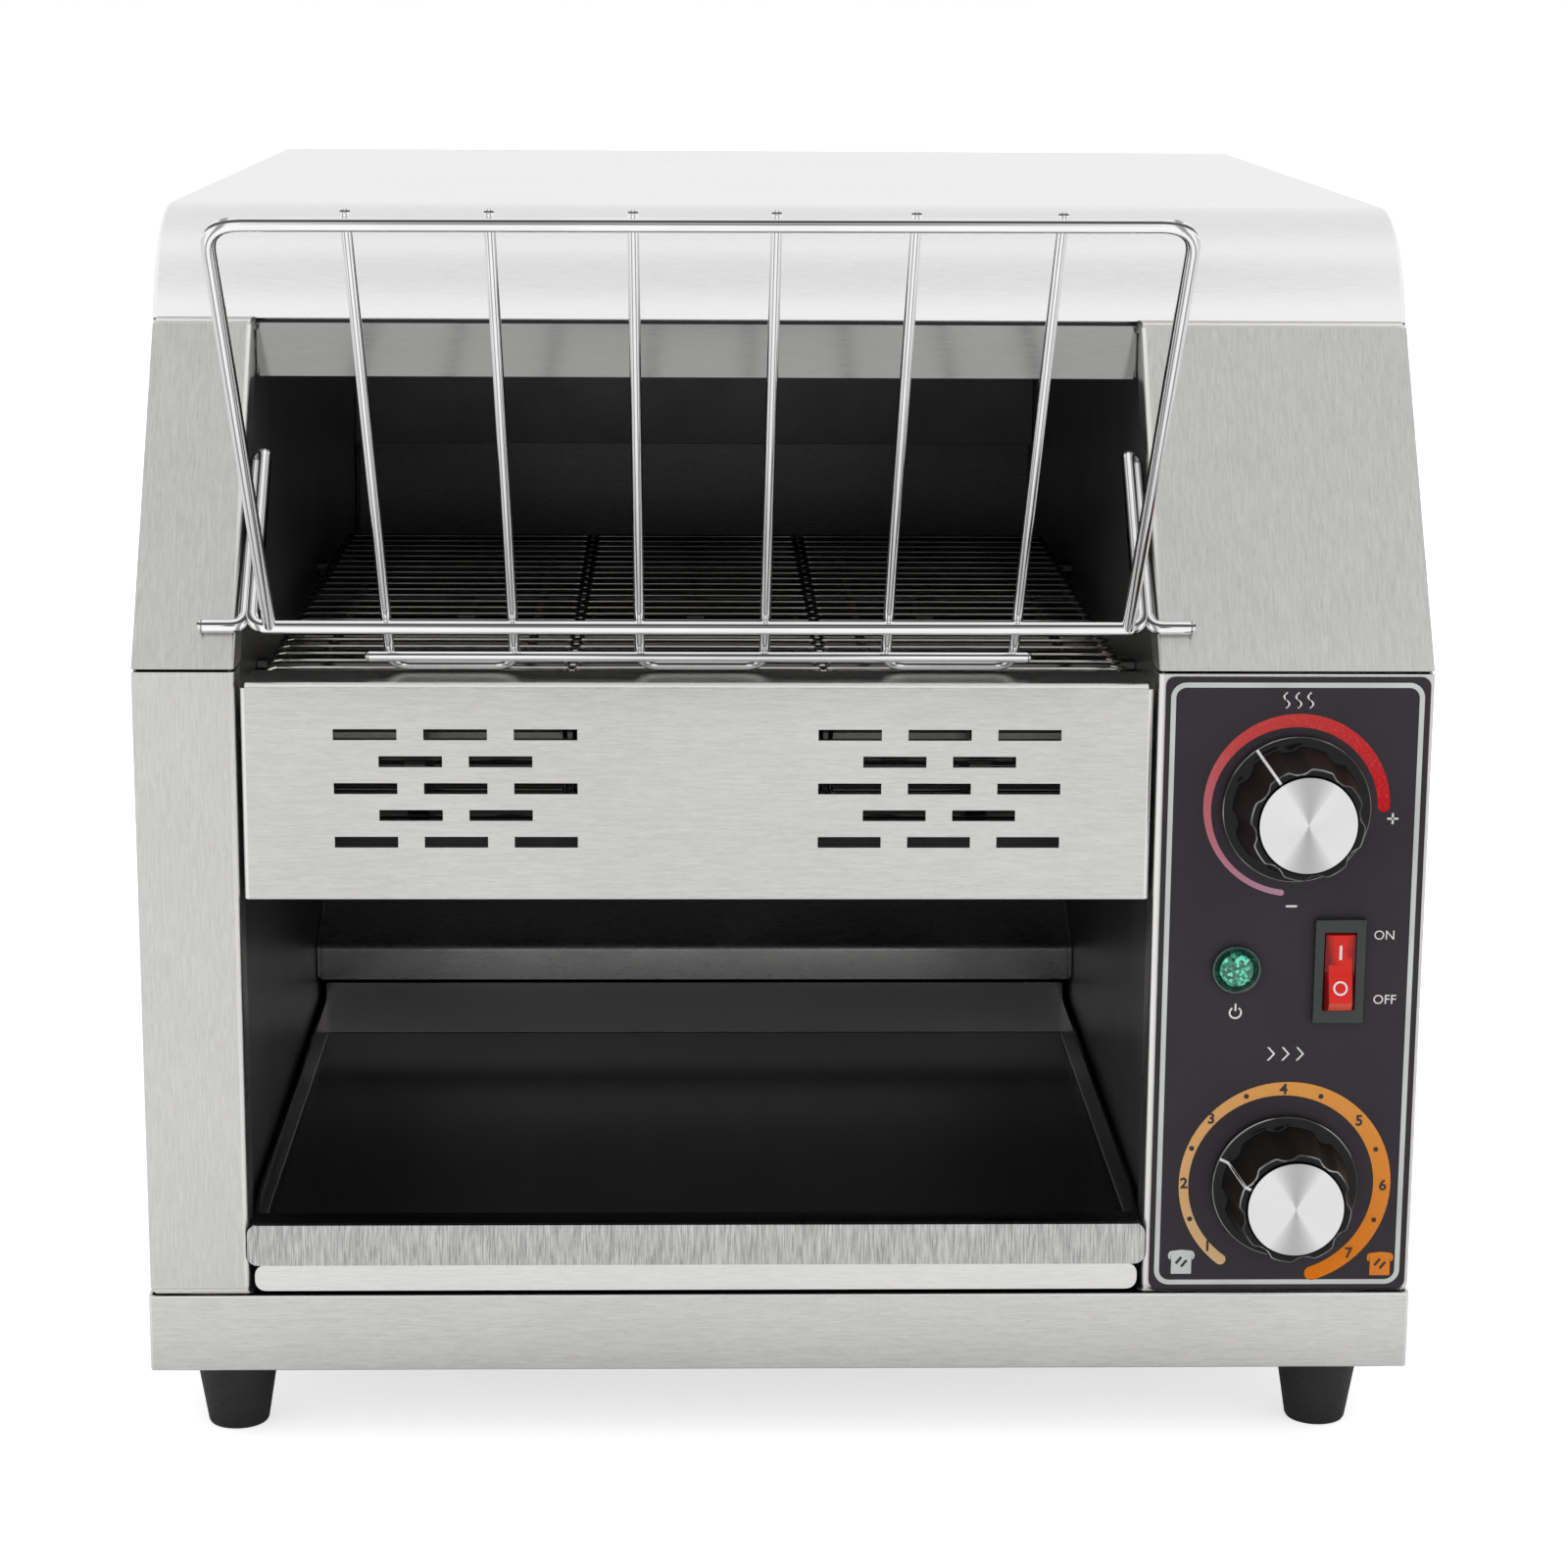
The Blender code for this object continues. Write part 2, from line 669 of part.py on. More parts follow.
def switch_hole():
    """Left, bottom, right and top of the hole for the switch's body."""
    x, z = SWITCH
    half_width = ROCKER_WIDTH / 2 + ROCKER_ROOM + SWITCH_WALL + CLEAR
    half_height = ROCKER_HEIGHT / 2 + ROCKER_ROOM + SWITCH_WALL + CLEAR
    return x - half_width, z - half_height, x + half_width, z + half_height


def front_sheets():
    dress(front_sheet("left_post_lower", -1, True), STEEL)
    dress(front_sheet("left_post_upper", -1, False), STEEL)
    dress(front_sheet("right_upper_fascia", 1, False), STEEL)
    fascia = front_sheet("control_fascia", 1, True)
    low, high = FRONT - OVERCUT, FRONT + OVERCUT
    for x, z in (HEAT_KNOB, SPEED_KNOB):
        cut(fascia, rod("fascia spindle hole", (x, low, z), (x, high, z), CONTROL_BUSH / 2 + CLEAR))
    x, z = LAMP
    cut(fascia, rod("fascia lamp hole", (x, low, z), (x, high, z), LAMP_BARREL_WIDTH / 2 + CLEAR))
    left, bottom, right, top = switch_hole()
    cut(fascia, box("fascia switch hole", (left, low, bottom), (right, high, top)))
    dress(fascia, STEEL)


def hood():
    """A band that follows the top skin, hollowed to leave the skin and its side flanges."""
    half = HALF_HOOD
    floor = BODY_TOP - HOOD_SIDE_DEPTH
    top = [(BACK, BODY_TOP), (BACK, floor)]
    band = under_hood(0, steps=HOOD_BEND_STEPS) + top + under_hood(HOOD_SIDE_DEPTH, steps=HOOD_BEND_STEPS)[::-1]
    cover = plate("hood", band, across("X", -half, half))
    top = [(BACK + OVERCUT, BODY_TOP - SHEET), (BACK + OVERCUT, floor - OVERCUT)]
    inner = under_hood(SHEET, HOOD_OVERCUT_ANGLE, HOOD_BEND_STEPS) + top
    inner += under_hood(HOOD_SIDE_DEPTH + OVERCUT, HOOD_OVERCUT_ANGLE, HOOD_BEND_STEPS)[::-1]
    cut(cover, plate("hood hollow", inner, across("X", SHEET - half, half - SHEET)))
    lip_angle = 90 + HOOD_BEND_ANGLE
    lip = arc(BEND_CENTRE, HOOD_BEND_RADIUS - SHEET / 2, lip_angle - HOOD_HEM_ANGLE, lip_angle, 1)
    lip += arc(BEND_CENTRE, HOOD_BEND_RADIUS - SHEET - HOOD_HEM, lip_angle, lip_angle - HOOD_HEM_ANGLE, 1)
    hem = HALF_MOUTH - HOOD_HEM
    join(cover, plate("hood hem", lip, across("X", MOUTH_CENTRE - hem, MOUTH_CENTRE + hem)))
    dress(cover, STEEL)


def grille_slots(centre):
    """Curved slots in rings in front of the fan."""
    slots = []
    for radius in GRILLE_RINGS[1:]:
        for index in range(GRILLE_SPANS):
            start = index * 360 / GRILLE_SPANS
            outer = arc(centre, radius + GRILLE_SLOT / 2, start, start + GRILLE_SPAN_ANGLE, 3)
            inner = arc(centre, radius - GRILLE_SLOT / 2, start + GRILLE_SPAN_ANGLE, start, 3)
            slots.append(outer + inner)
    return slots + [circle(centre, GRILLE_RINGS[0], SMALL_ROUND)]


def back_panel():
    top = BODY_TOP - SHEET - CLEAR
    outline = rectangle(-SIDE_OUTSIDE, BODY_FLOOR, SIDE_OUTSIDE, top)
    first = MOUTH_CENTRE - (BACK_VENT_COLUMNS - 1) * VENT_PITCH / 2
    height = BODY_TOP - BACK_VENT_DROP
    vents = [slot((first + column * VENT_PITCH, height), VENT_LENGTH, VENT_WIDTH, True)
             for column in range(BACK_VENT_COLUMNS)]
    holes = vents + [circle(GLAND_CENTRE, GLAND_THREAD / 2 + CLEAR)] + grille_slots(FAN_CENTRE)
    panel = plate("back_panel", outline, across("Y", BACK - SHEET, BACK), holes)
    dress(panel, STEEL)


def base_pan():
    half = HALF_BASE
    front = FRONT - BASE_FRONT_PROUD
    pan = box("base_pan", (-half, front, BASE_BOTTOM), (half, BACK, BASE_TOP))
    low = (SHEET - half, front + SHEET, BASE_BOTTOM + SHEET)
    cut(pan, box("base hollow", low, (half - SHEET, BACK - SHEET, BASE_TOP + OVERCUT)))
    first = FAN_CENTRE[0] - (BASE_SLOT_COUNT - 1) * VENT_PITCH / 2
    low, high = BASE_BOTTOM - OVERCUT, BASE_BOTTOM + OVERCUT
    for index in range(BASE_SLOT_COUNT):
        centre = (first + index * VENT_PITCH, SIDE_VENT_START)
        cut(pan, plate("base slot", slot(centre, VENT_LENGTH, VENT_WIDTH, True), across("Z", low, high)))
    dress(pan, STEEL)


def feet():
    top = BASE_BOTTOM - CLEAR
    sole = FOOT_BOTTOM_WIDTH / 2
    profile = [(0, top), (FOOT_TOP_WIDTH / 2, top), (sole, FOOT_CHAMFER), (sole - FOOT_CHAMFER, 0), (0, 0)]
    for side_name, side in SIDES:
        for end_name, y in (("front", FRONT + FOOT_SETBACK), ("back", BACK - FOOT_SETBACK)):
            name = "foot_" + end_name + "_" + side_name
            dress(turned(name, profile, (side * (HALF_BASE - FOOT_INSET), y, 0), "Z", MEDIUM_ROUND), RUBBER)


# Oven cavity

def wall_holes():
    bush = SHAFT_WIDTH / 2 + BUSH_WALL + 2 * CLEAR
    holes = [circle((y, SHAFT_HEIGHT), bush, SMALL_ROUND) for y in (FRONT_SHAFT, BACK_SHAFT)]
    return holes + [circle(place, TUBE_WIDTH / 2 + 2 * CLEAR, TINY_ROUND) for place in tube_places()]


def tube_places():
    upper = [(FRONT + setback, UPPER_TUBE_HEIGHT) for setback in UPPER_TUBE_SETBACKS]
    return upper + [(FRONT + setback, LOWER_TUBE_HEIGHT) for setback in LOWER_TUBE_SETBACKS]


def cavity_wall(name, side):
    inset = SHEET + CLEAR
    step = UPPER_REFLECTOR_FRONT + SHEET
    top = [(step, on_slant(SLANT_LENGTH - WALL_SLANT_SHORT, inset).z), (step, WALL_TOP)]
    outline = body_side_outline(inset, WALL_SLANT_SHORT, top, BACK - inset, BASE_BOTTOM + inset)
    low, high = span(side, WALL_INSIDE, WALL_OUTSIDE)
    dress(plate(name, outline, across("X", low, high), wall_holes()), ALUMINISED)


def cavity_span():
    reach = WALL_INSIDE - CLEAR
    return MOUTH_CENTRE - reach, MOUTH_CENTRE + reach


def folded_plate(name, points, finish, low, high):
    """A sheet folded along points seen from the side, its thickness on the left of the way they run."""
    inner = []
    for index, point in enumerate(points):
        before = Vector(points[max(index - 1, 0)])
        after = Vector(points[min(index + 1, len(points) - 1)])
        here = Vector(point)
        first = (here - before).normalized() if index else (after - here).normalized()
        second = (after - here).normalized() if index < len(points) - 1 else first
        normal = Vector((-first.y - second.y, first.x + second.x))
        normal = normal.normalized() * SHEET / max(normal.length / 2, 0.5)
        inner.append((here.x + normal.x, here.y + normal.y))
    return dress(plate(name, list(points) + inner[::-1], across("X", low, high)), finish)


def reflectors():
    low, high = cavity_span()
    height = HEADER_TOP + CLEAR
    points = [(UPPER_REFLECTOR_FRONT, height), (HEAT_SHIELD - CLEAR, height)]
    folded_plate("upper_reflector", points, ALUMINISED, low, high)
    front, back = FRONT + LOWER_REFLECTOR_FRONT, HEAT_SHIELD - LOWER_REFLECTOR_SHORT
    height = LOWER_REFLECTOR_HEIGHT
    points = [(front, height + REFLECTOR_LIP), (front, height), (back, height), (back, height + REFLECTOR_LIP)]
    folded_plate("lower_reflector", points, ALUMINISED, low, high)
    floor = BASE_BOTTOM + SHEET + CLEAR
    outline = rectangle(low, floor, high, WALL_TOP)
    dress(plate("rear_heat_shield", outline, across("Y", HEAT_SHIELD, HEAT_SHIELD + SHEET)), ALUMINISED)


def header_strip():
    reach = HALF_MOUTH - CLEAR
    behind, under = HEADER_FRONT + SHEET, HEADER_TOP - SHEET
    points = [(behind, HEADER_BOTTOM), (behind, under), (HEADER_FRONT + HEADER_SHELF, under)]
    folded_plate("header_strip", points, BRIGHT_STEEL, MOUTH_CENTRE - reach, MOUTH_CENTRE + reach)


def chute():
    """A quarter bend that turns falling toast forward, a straight slide and a folded front lip."""
    back = HEAT_SHIELD - CLEAR
    centre = (back - CHUTE_RADIUS, KINK_HEIGHT + CHUTE_RISE)
    bend = arc(centre, CHUTE_RADIUS, 0, -CHUTE_SWEEP, 8)
    lip = FRONT + CHUTE_LIP_SETBACK
    slope = math.tan(math.radians(90 - CHUTE_SWEEP))
    lip_top = bend[-1][1] - (bend[-1][0] - lip) * slope
    points = bend + [(lip, lip_top), (lip, CHUTE_LIP_BOTTOM)]
    low, high = cavity_span()
    folded_plate("discharge_chute", points[::-1], BRIGHT_STEEL, low, high)


def header_and_cavity():
    for side_name, side in SIDES:
        cavity_wall("cavity_" + side_name + "_wall", side)
    reflectors()
    header_strip()
    chute()


def heaters():
    names = ["upper_heater_" + str(index + 1) for index in range(len(UPPER_TUBE_SETBACKS))]
    names += ["lower_heater_" + str(index + 1) for index in range(len(LOWER_TUBE_SETBACKS))]
    reach = WALL_OUTSIDE + BUSH_FLANGE
    end = reach + TUBE_CAP_LENGTH
    wide, narrow = TUBE_WIDTH / 2, TUBE_CAP_WIDTH / 2
    half = [(0, end), (narrow, end), (narrow, reach), (wide, reach)]
    profile = half + [(radius, -height) for radius, height in half[::-1]]
    for name, (y, z) in zip(names, tube_places()):
        dress(turned(name, profile, (MOUTH_CENTRE, y, z), "X", TINY_ROUND), QUARTZ)
    for side_name, side in SIDES:
        heater_bracket("heater_bracket_" + side_name, side)


def heater_bracket(name, side):
    """A channel outside the cavity wall that holds the heater caps."""
    near = WALL_OUTSIDE + BUSH_FLANGE + CLEAR
    front, back = FRONT + BRACKET_FRONT, FRONT + BRACKET_BACK
    holes = [circle((y, z), TUBE_CAP_WIDTH / 2 + 2 * CLEAR, TINY_ROUND) for y, z in tube_places()]
    low, high = span(side, near, near + SHEET)
    floor, top = LOWER_TUBE_HEIGHT - BRACKET_MARGIN, UPPER_TUBE_HEIGHT + BRACKET_MARGIN
    web = plate(name, rectangle(front, floor, back, top), across("X", low, high), holes)
    low, high = span(side, WALL_OUTSIDE + CLEAR, near + SHEET / 2)
    front, back = front + SHEET / 2, back - SHEET / 2
    for height in (floor, top - SHEET):
        join(web, box(name + " flange", (low, front, height), (high, back, height + SHEET)))
    dress(web, STEEL)


# Belt drive

def racetrack(distance, rise):
    """A point on the belt's loop as (y, z), from the front of its upper run backwards."""
    run = BELT_RUN_PITCHES * BELT_PITCH
    bend = math.pi * PITCH_RADIUS
    distance = distance % (2 * (run + bend))
    radius = PITCH_RADIUS + rise
    if distance < run:
        return FRONT_SHAFT + distance, SHAFT_HEIGHT + radius
    if distance < run + bend:
        angle = (distance - run) / PITCH_RADIUS
        return BACK_SHAFT + radius * math.sin(angle), SHAFT_HEIGHT + radius * math.cos(angle)
    if distance < 2 * run + bend:
        return BACK_SHAFT - (distance - run - bend), SHAFT_HEIGHT - radius
    angle = (distance - 2 * run - bend) / PITCH_RADIUS
    return FRONT_SHAFT - radius * math.sin(angle), SHAFT_HEIGHT - radius * math.cos(angle)


def strand_points():
    """One belt wire as (across, along, rise): the left edge holds the next wire, the rest dips under it."""
    half = BELT_WIDTH / 2
    leg = BELT_PITCH - EDGE_LEG_SHORT
    reach = BELT_PITCH + HOOK_REACH
    points = [(EDGE_HOOK - half, BELT_PITCH, 0), (-half, leg, 0), (EDGE_BOW - half, 0, 0)]
    for side in (-1, 1):
        centre = side * BELT_JOINT_SHARE * BELT_WIDTH
        points += [(centre - HOOK_ROOT / 2, 0, 0), (centre - HOOK_TIP / 2, reach, -HOOK_DIP)]
        points += [(centre + HOOK_TIP / 2, reach, -HOOK_DIP), (centre + HOOK_ROOT / 2, 0, 0)]
    return points + [(half - EDGE_BOW, 0, 0), (half, leg, -HOOK_DIP), (half - EDGE_HOOK, BELT_PITCH, -HOOK_DIP)]


def strand(index):
    points = []
    for across_belt, along, rise in strand_points():
        y, z = racetrack(index * BELT_PITCH + along, rise)
        points.append((MOUTH_CENTRE + across_belt, y, z))
    return wire("strand", points, BELT_WIRE / 2, roundness=0)


def merged(name, pieces):
    """Closed pieces that don't touch each other, as one mesh object."""
    made = bmesh.new()
    for piece in pieces:
        piece.data.transform(piece.matrix_world)
        made.from_mesh(piece.data)
        bpy.data.objects.remove(piece)
    mesh = bpy.data.meshes.new(name)
    made.to_mesh(mesh)
    made.free()
    return add_object(name, mesh)


def belt():
    """Each wire hooks over the next, so the loop of every second wire joined to the others is one piece."""
    evens = merged("conveyor_belt", [strand(index) for index in range(0, BELT_LINKS, 2)])
    odds = merged("belt odd wires", [strand(index) for index in range(1, BELT_LINKS, 2)])
    dress(join(evens, odds), BELT_STEEL)


def sprocket_outline(y):
    """Valleys that the wires sit in, and teeth between them."""
    root = PITCH_RADIUS - BELT_WIRE / 2 - CLEAR
    tip = PITCH_RADIUS + TOOTH_RISE
    step = 360 / SPROCKET_TEETH
    outline = []
    for index in range(SPROCKET_TEETH):
        valley = 90 + index * step
        tooth = math.radians(valley + step / 2)
        outline += arc((y, SHAFT_HEIGHT), root, valley - TOOTH_ROOT_ANGLE, valley + TOOTH_ROOT_ANGLE, 1)
        outline.append((y + tip * math.cos(tooth), SHAFT_HEIGHT + tip * math.sin(tooth)))
    return outline


def sprocket_shaft(name, y, right_overhang):
    left = mouth_x(-1, WALL_OUTSIDE + SHAFT_OVERHANG)
    right = mouth_x(1, WALL_OUTSIDE + right_overhang)
    shaft = rod(name, (left, y, SHAFT_HEIGHT), (right, y, SHAFT_HEIGHT), SHAFT_WIDTH / 2)
    for side in (-1, 0, 1):
        middle = MOUTH_CENTRE + side * SPROCKET_SHARE * BELT_WIDTH
        place = across("X", middle - SPROCKET_WIDTH / 2, middle + SPROCKET_WIDTH / 2)
        join(shaft, plate(name + " sprocket", sprocket_outline(y), place))
    dress(shaft, STEEL)


def bearing(name, side, y):
    """A flanged bush pushed through the cavity wall from outside."""
    bore = SHAFT_WIDTH / 2 + CLEAR
    body = bore + BUSH_WALL
    inner, seat = WALL_INSIDE, WALL_OUTSIDE + CLEAR
    outer = seat + BUSH_FLANGE
    flange = BUSH_FLANGE_WIDTH / 2
    profile = [(flange, outer), (flange, seat), (body, seat), (body, inner), (bore, inner), (bore, outer)]
    axis = "X" if side > 0 else "-X"
    dress(turned(name, profile, (MOUTH_CENTRE, y, SHAFT_HEIGHT), axis, SMALL_ROUND), BRASS)


def belt_support():
    """Rods just under the upper run, on two cross-bars that reach the cavity walls."""
    rod_height = BELT_TOP - BELT_WIRE / 2 - CLEAR - SUPPORT_ROD / 2
    bar_height = rod_height - (SUPPORT_ROD + SUPPORT_BAR) / 2 + RACK_WELD
    reach = WALL_INSIDE - CLEAR
    front, back = FRONT + SUPPORT_FRONT, FRONT + SUPPORT_BACK
    rods = []
    for share in SUPPORT_ROD_SHARES:
        x = MOUTH_CENTRE + share * BELT_WIDTH
        ends = (x, front, rod_height), (x, back, rod_height)
        rods.append(rod("support rod", *ends, SUPPORT_ROD / 2, steps=TINY_ROUND))
    left, right = MOUTH_CENTRE - reach, MOUTH_CENTRE + reach
    bars = []
    for y in (front + SUPPORT_BAR_INSET, back - SUPPORT_BAR_INSET):
        ends = (left, y, bar_height), (right, y, bar_height)
        bars.append(rod("support bar", *ends, SUPPORT_BAR / 2, steps=TINY_ROUND))
    frame = merged("belt_support", bars)
    dress(join(frame, merged("support rods", rods)), STEEL)


def motor():
    """A geared motor on three posts outside the right cavity wall, in line with the rear shaft."""
    y, z = BACK_SHAFT, SHAFT_HEIGHT
    wall = mouth_x(1, WALL_OUTSIDE + CLEAR)
    gear = mouth_x(1, WALL_OUTSIDE + MOTOR_STANDOFF)
    can = gear + GEARBOX_LENGTH
    drive = rod("gear_motor", (gear, y, z), (can, y, z), GEARBOX_WIDTH / 2, steps=MEDIUM_ROUND)
    ends = (can - SHEET, y, z), (can + MOTOR_LENGTH, y, z)
    join(drive, rod("motor can", *ends, MOTOR_WIDTH / 2, steps=MEDIUM_ROUND))
    for post_y, post_z in circle((y, z), MOTOR_POST_RADIUS, MOTOR_POSTS):
        ends = (wall, post_y, post_z), (gear + SHEET, post_y, post_z)
        join(drive, rod("motor post", *ends, MOTOR_POST_WIDTH / 2, steps=TINY_ROUND))
    entry = gear + OUTPUT_ENTRY
    cut(drive, rod("motor bore", (gear - OVERCUT, y, z), (entry + CLEAR, y, z), OUTPUT_WIDTH / 2 + CLEAR))
    dress(drive, DARK_STEEL)
    shaft_end = mouth_x(1, WALL_OUTSIDE + DRIVE_OVERHANG)
    sleeve_start = shaft_end - COUPLING_LENGTH / 2
    sleeve_end = sleeve_start + COUPLING_LENGTH
    bore = SHAFT_WIDTH / 2 + CLEAR
    sleeve = rod("shaft_coupling", (sleeve_start, y, z), (sleeve_end, y, z), COUPLING_WIDTH / 2, steps=ROUND)
    join(sleeve, rod("motor output", (sleeve_end - SHEET, y, z), (entry, y, z), OUTPUT_WIDTH / 2))
    cut(sleeve, rod("sleeve bore", (sleeve_start - OVERCUT, y, z), (shaft_end + CLEAR, y, z), bore))
    dress(sleeve, BRASS)


def belt_drive():
    belt()
    sprocket_shaft("drive_shaft", BACK_SHAFT, DRIVE_OVERHANG)
    sprocket_shaft("idler_shaft", FRONT_SHAFT, SHAFT_OVERHANG)
    for side_name, side in SIDES:
        bearing("bearing_front_" + side_name, side, FRONT_SHAFT)
        bearing("bearing_rear_" + side_name, side, BACK_SHAFT)
    belt_support()
    motor()


# Front cover

def cover_slots():
    length = COVER_WIDTH * SLOT_LENGTH_SHARE
    pitch = COVER_WIDTH * SLOT_PITCH_SHARE
    slots = []
    for side in (-1, 1):
        group = MOUTH_CENTRE + side * COVER_WIDTH * SLOT_GROUP_SHARE
        for row, count in enumerate(SLOT_ROWS):
            first = group - (count - 1) * pitch / 2
            height = COVER_TOP - SLOT_TOP_MARGIN - row * SLOT_ROW_PITCH
            slots += [slot((first + index * pitch, height), length, SLOT_HEIGHT) for index in range(count)]
    return slots


def front_cover():
    """A slotted face, a top flange over the belt and two side flanges with locating studs."""
    half = COVER_WIDTH / 2
    left, right = MOUTH_CENTRE - half, MOUTH_CENTRE + half
    behind, under = FRONT + SHEET, COVER_TOP - SHEET
    points = [(behind, COVER_BOTTOM), (behind, under), (FRONT + COVER_RETURN, under)]
    cover = folded_plate("front_cover", points, STEEL, left, right)
    place = across("Y", FRONT - OVERCUT, FRONT + OVERCUT)
    cut(cover, merged("cover slots", [plate("cover slot", outline, place) for outline in cover_slots()]))
    back = FRONT + COVER_SIDE_DEPTH
    for _, side in SIDES:
        low, high = span(side, half - SHEET - SEAM, half - SEAM)
        foot = (low, FRONT + SHEET / 2, COVER_BOTTOM + COVER_EDGE_INSET)
        join(cover, box("cover side", foot, (high, back, COVER_TOP - SHEET / 2)))
        for z in (COVER_BOTTOM + COVER_SIDE_DEPTH, COVER_TOP - COVER_SIDE_DEPTH):
            y = FRONT + COVER_SIDE_DEPTH / 2
            start, end = mouth_x(side, half - SHEET / 2), mouth_x(side, HALF_MOUTH - CLEAR)
            join(cover, rod("cover stud", (start, y, z), (end, y, z), COVER_STUD_RADIUS, steps=TINY_ROUND))


# Trays

def tray_walls(tray, width, outline):
    for _, side in SIDES:
        low, high = span(side, width / 2 - SHEET, width / 2)
        join(tray, plate("tray side", outline, across("X", low, high)))


def toast_tray():
    inner = TRAY_WIDTH / 2 - SHEET / 2
    low, high = MOUTH_CENTRE - inner, MOUTH_CENTRE + inner
    back = FRONT + TRAY_BACK_SETBACK
    front = FRONT - CLEAR
    step = FRONT + TRAY_LEDGE_DEPTH
    ledge = TRAY_LEDGE_TOP - SHEET
    edge = front - SHEET / 2
    points = [(edge, ledge), (step, ledge), (step + SHEET, TRAY_FLOOR), (back - SHEET, TRAY_FLOOR)]
    points.append((back - SHEET, TRAY_BACK_TOP))
    tray = folded_plate("toast_tray", points, STEEL, low, high)
    outline = [(edge, ledge - SHEET), (step, ledge - SHEET), (step, TRAY_FLOOR), (back, TRAY_FLOOR)]
    outline += [(back, TRAY_SIDE_TOP), (step + TRAY_LEDGE_DEPTH, TRAY_SIDE_TOP), (step, TRAY_LEDGE_TOP)]
    outline.append((edge, TRAY_LEDGE_TOP))
    tray_walls(tray, TRAY_WIDTH, outline)
    half = HALF_MOUTH + TRAY_LIP_LAP
    lip = rounded(MOUTH_CENTRE - half, TRAY_LIP_BOTTOM, MOUTH_CENTRE + half, TRAY_LEDGE_TOP, TRAY_LIP_RADIUS)
    join(tray, plate("tray lip", lip, across("Y", front - SHEET, front)))
    dress(tray, STEEL)


def crumb_tray():
    half = HALF_MOUTH - CRUMB_STRIP_GAP
    left, right = MOUTH_CENTRE - half, MOUTH_CENTRE + half
    strip = rounded(left, CRUMB_STRIP_BOTTOM, right, CRUMB_STRIP_TOP, CRUMB_STRIP_RADIUS)
    front = FRONT + CLEAR
    tray = plate("crumb_tray", strip, across("Y", front, front + SHEET))
    inner = CRUMB_WIDTH / 2 - SHEET / 2
    left, right = MOUTH_CENTRE - inner, MOUTH_CENTRE + inner
    start, back = front + SHEET / 2, HEAT_SHIELD - CRUMB_SHORT
    floor = box("crumb floor", (left, start, CRUMB_FLOOR), (right, back, CRUMB_FLOOR + SHEET))
    rear = box("crumb back", (left, back - SHEET, CRUMB_FLOOR + SHEET / 2), (right, back, CRUMB_SIDE_TOP))
    join(tray, floor, rear)
    outline = [(start, CRUMB_FLOOR), (back, CRUMB_FLOOR), (back, CRUMB_SIDE_TOP)]
    outline += [(start + TRAY_LEDGE_DEPTH, CRUMB_SIDE_TOP), (start, CRUMB_STRIP_TOP - SHEET)]
    tray_walls(tray, CRUMB_WIDTH, outline)
    dress(tray, STEEL)


def tray_rail(name, side):
    """A web against the cavity wall with one shelf for each tray."""
    web = sorted((mouth_x(side, HALF_MOUTH), mouth_x(side, HALF_MOUTH + SHEET)))
    front, back = FRONT + RAIL_FRONT, HEAT_SHIELD - RAIL_SHORT
    crumb_shelf = CRUMB_FLOOR - CLEAR - SHEET
    toast_shelf = TRAY_FLOOR - CLEAR - SHEET
    rail = box(name, (web[0], front, crumb_shelf), (web[1], back, TRAY_FLOOR + RAIL_SHELF))
    low, high = span(side, HALF_MOUTH - RAIL_SHELF, HALF_MOUTH + SHEET / 2)
    for shelf in (crumb_shelf, toast_shelf):
        join(rail, box(name + " shelf", (low, front, shelf), (high, back, shelf + SHEET)))
    dress(rail, STEEL)


def trays():
    toast_tray()
    crumb_tray()
    for side_name, side in SIDES:
        tray_rail("tray_rail_" + side_name, side)


# Feed rack

def bend_points(before, corner, after, radius, steps=3):
    """Rounds the corner of a wire's path with a few points."""
    before, corner, after = Vector(before), Vector(corner), Vector(after)
    enter = corner + (before - corner).normalized() * radius
    leave = corner + (after - corner).normalized() * radius
    points = []
    for step in range(steps + 1):
        share = step / steps
        points.append(enter.lerp(corner, share).lerp(corner.lerp(leave, share), share))
    return points


def path(points, radius, steps=2):
    """A wire's path through its corners, each one rounded."""
    route = [Vector(points[0])]
    for before, corner, after in zip(points, points[1:], points[2:]):
        route += bend_points(before, corner, after, radius, steps)
    return route + [Vector(points[-1])]


def rack_legs():
    """Side view of a hairpin: the bottom bar, the two ends of its top bend, and the stub on the slant."""
    stub = on_slant(STUB_ALONG, -STUB_PROUD)
    second_top = on_slant(SLANT_LENGTH * HAIRPIN_TOP_SHARE, HAIRPIN_TOP_INSET)
    leg = (second_top - stub).normalized()
    over = Vector((0, -leg.z, leg.y)) * HAIRPIN_DEPTH
    return stub + over - leg * STUB_STEP, second_top + over, second_top, stub


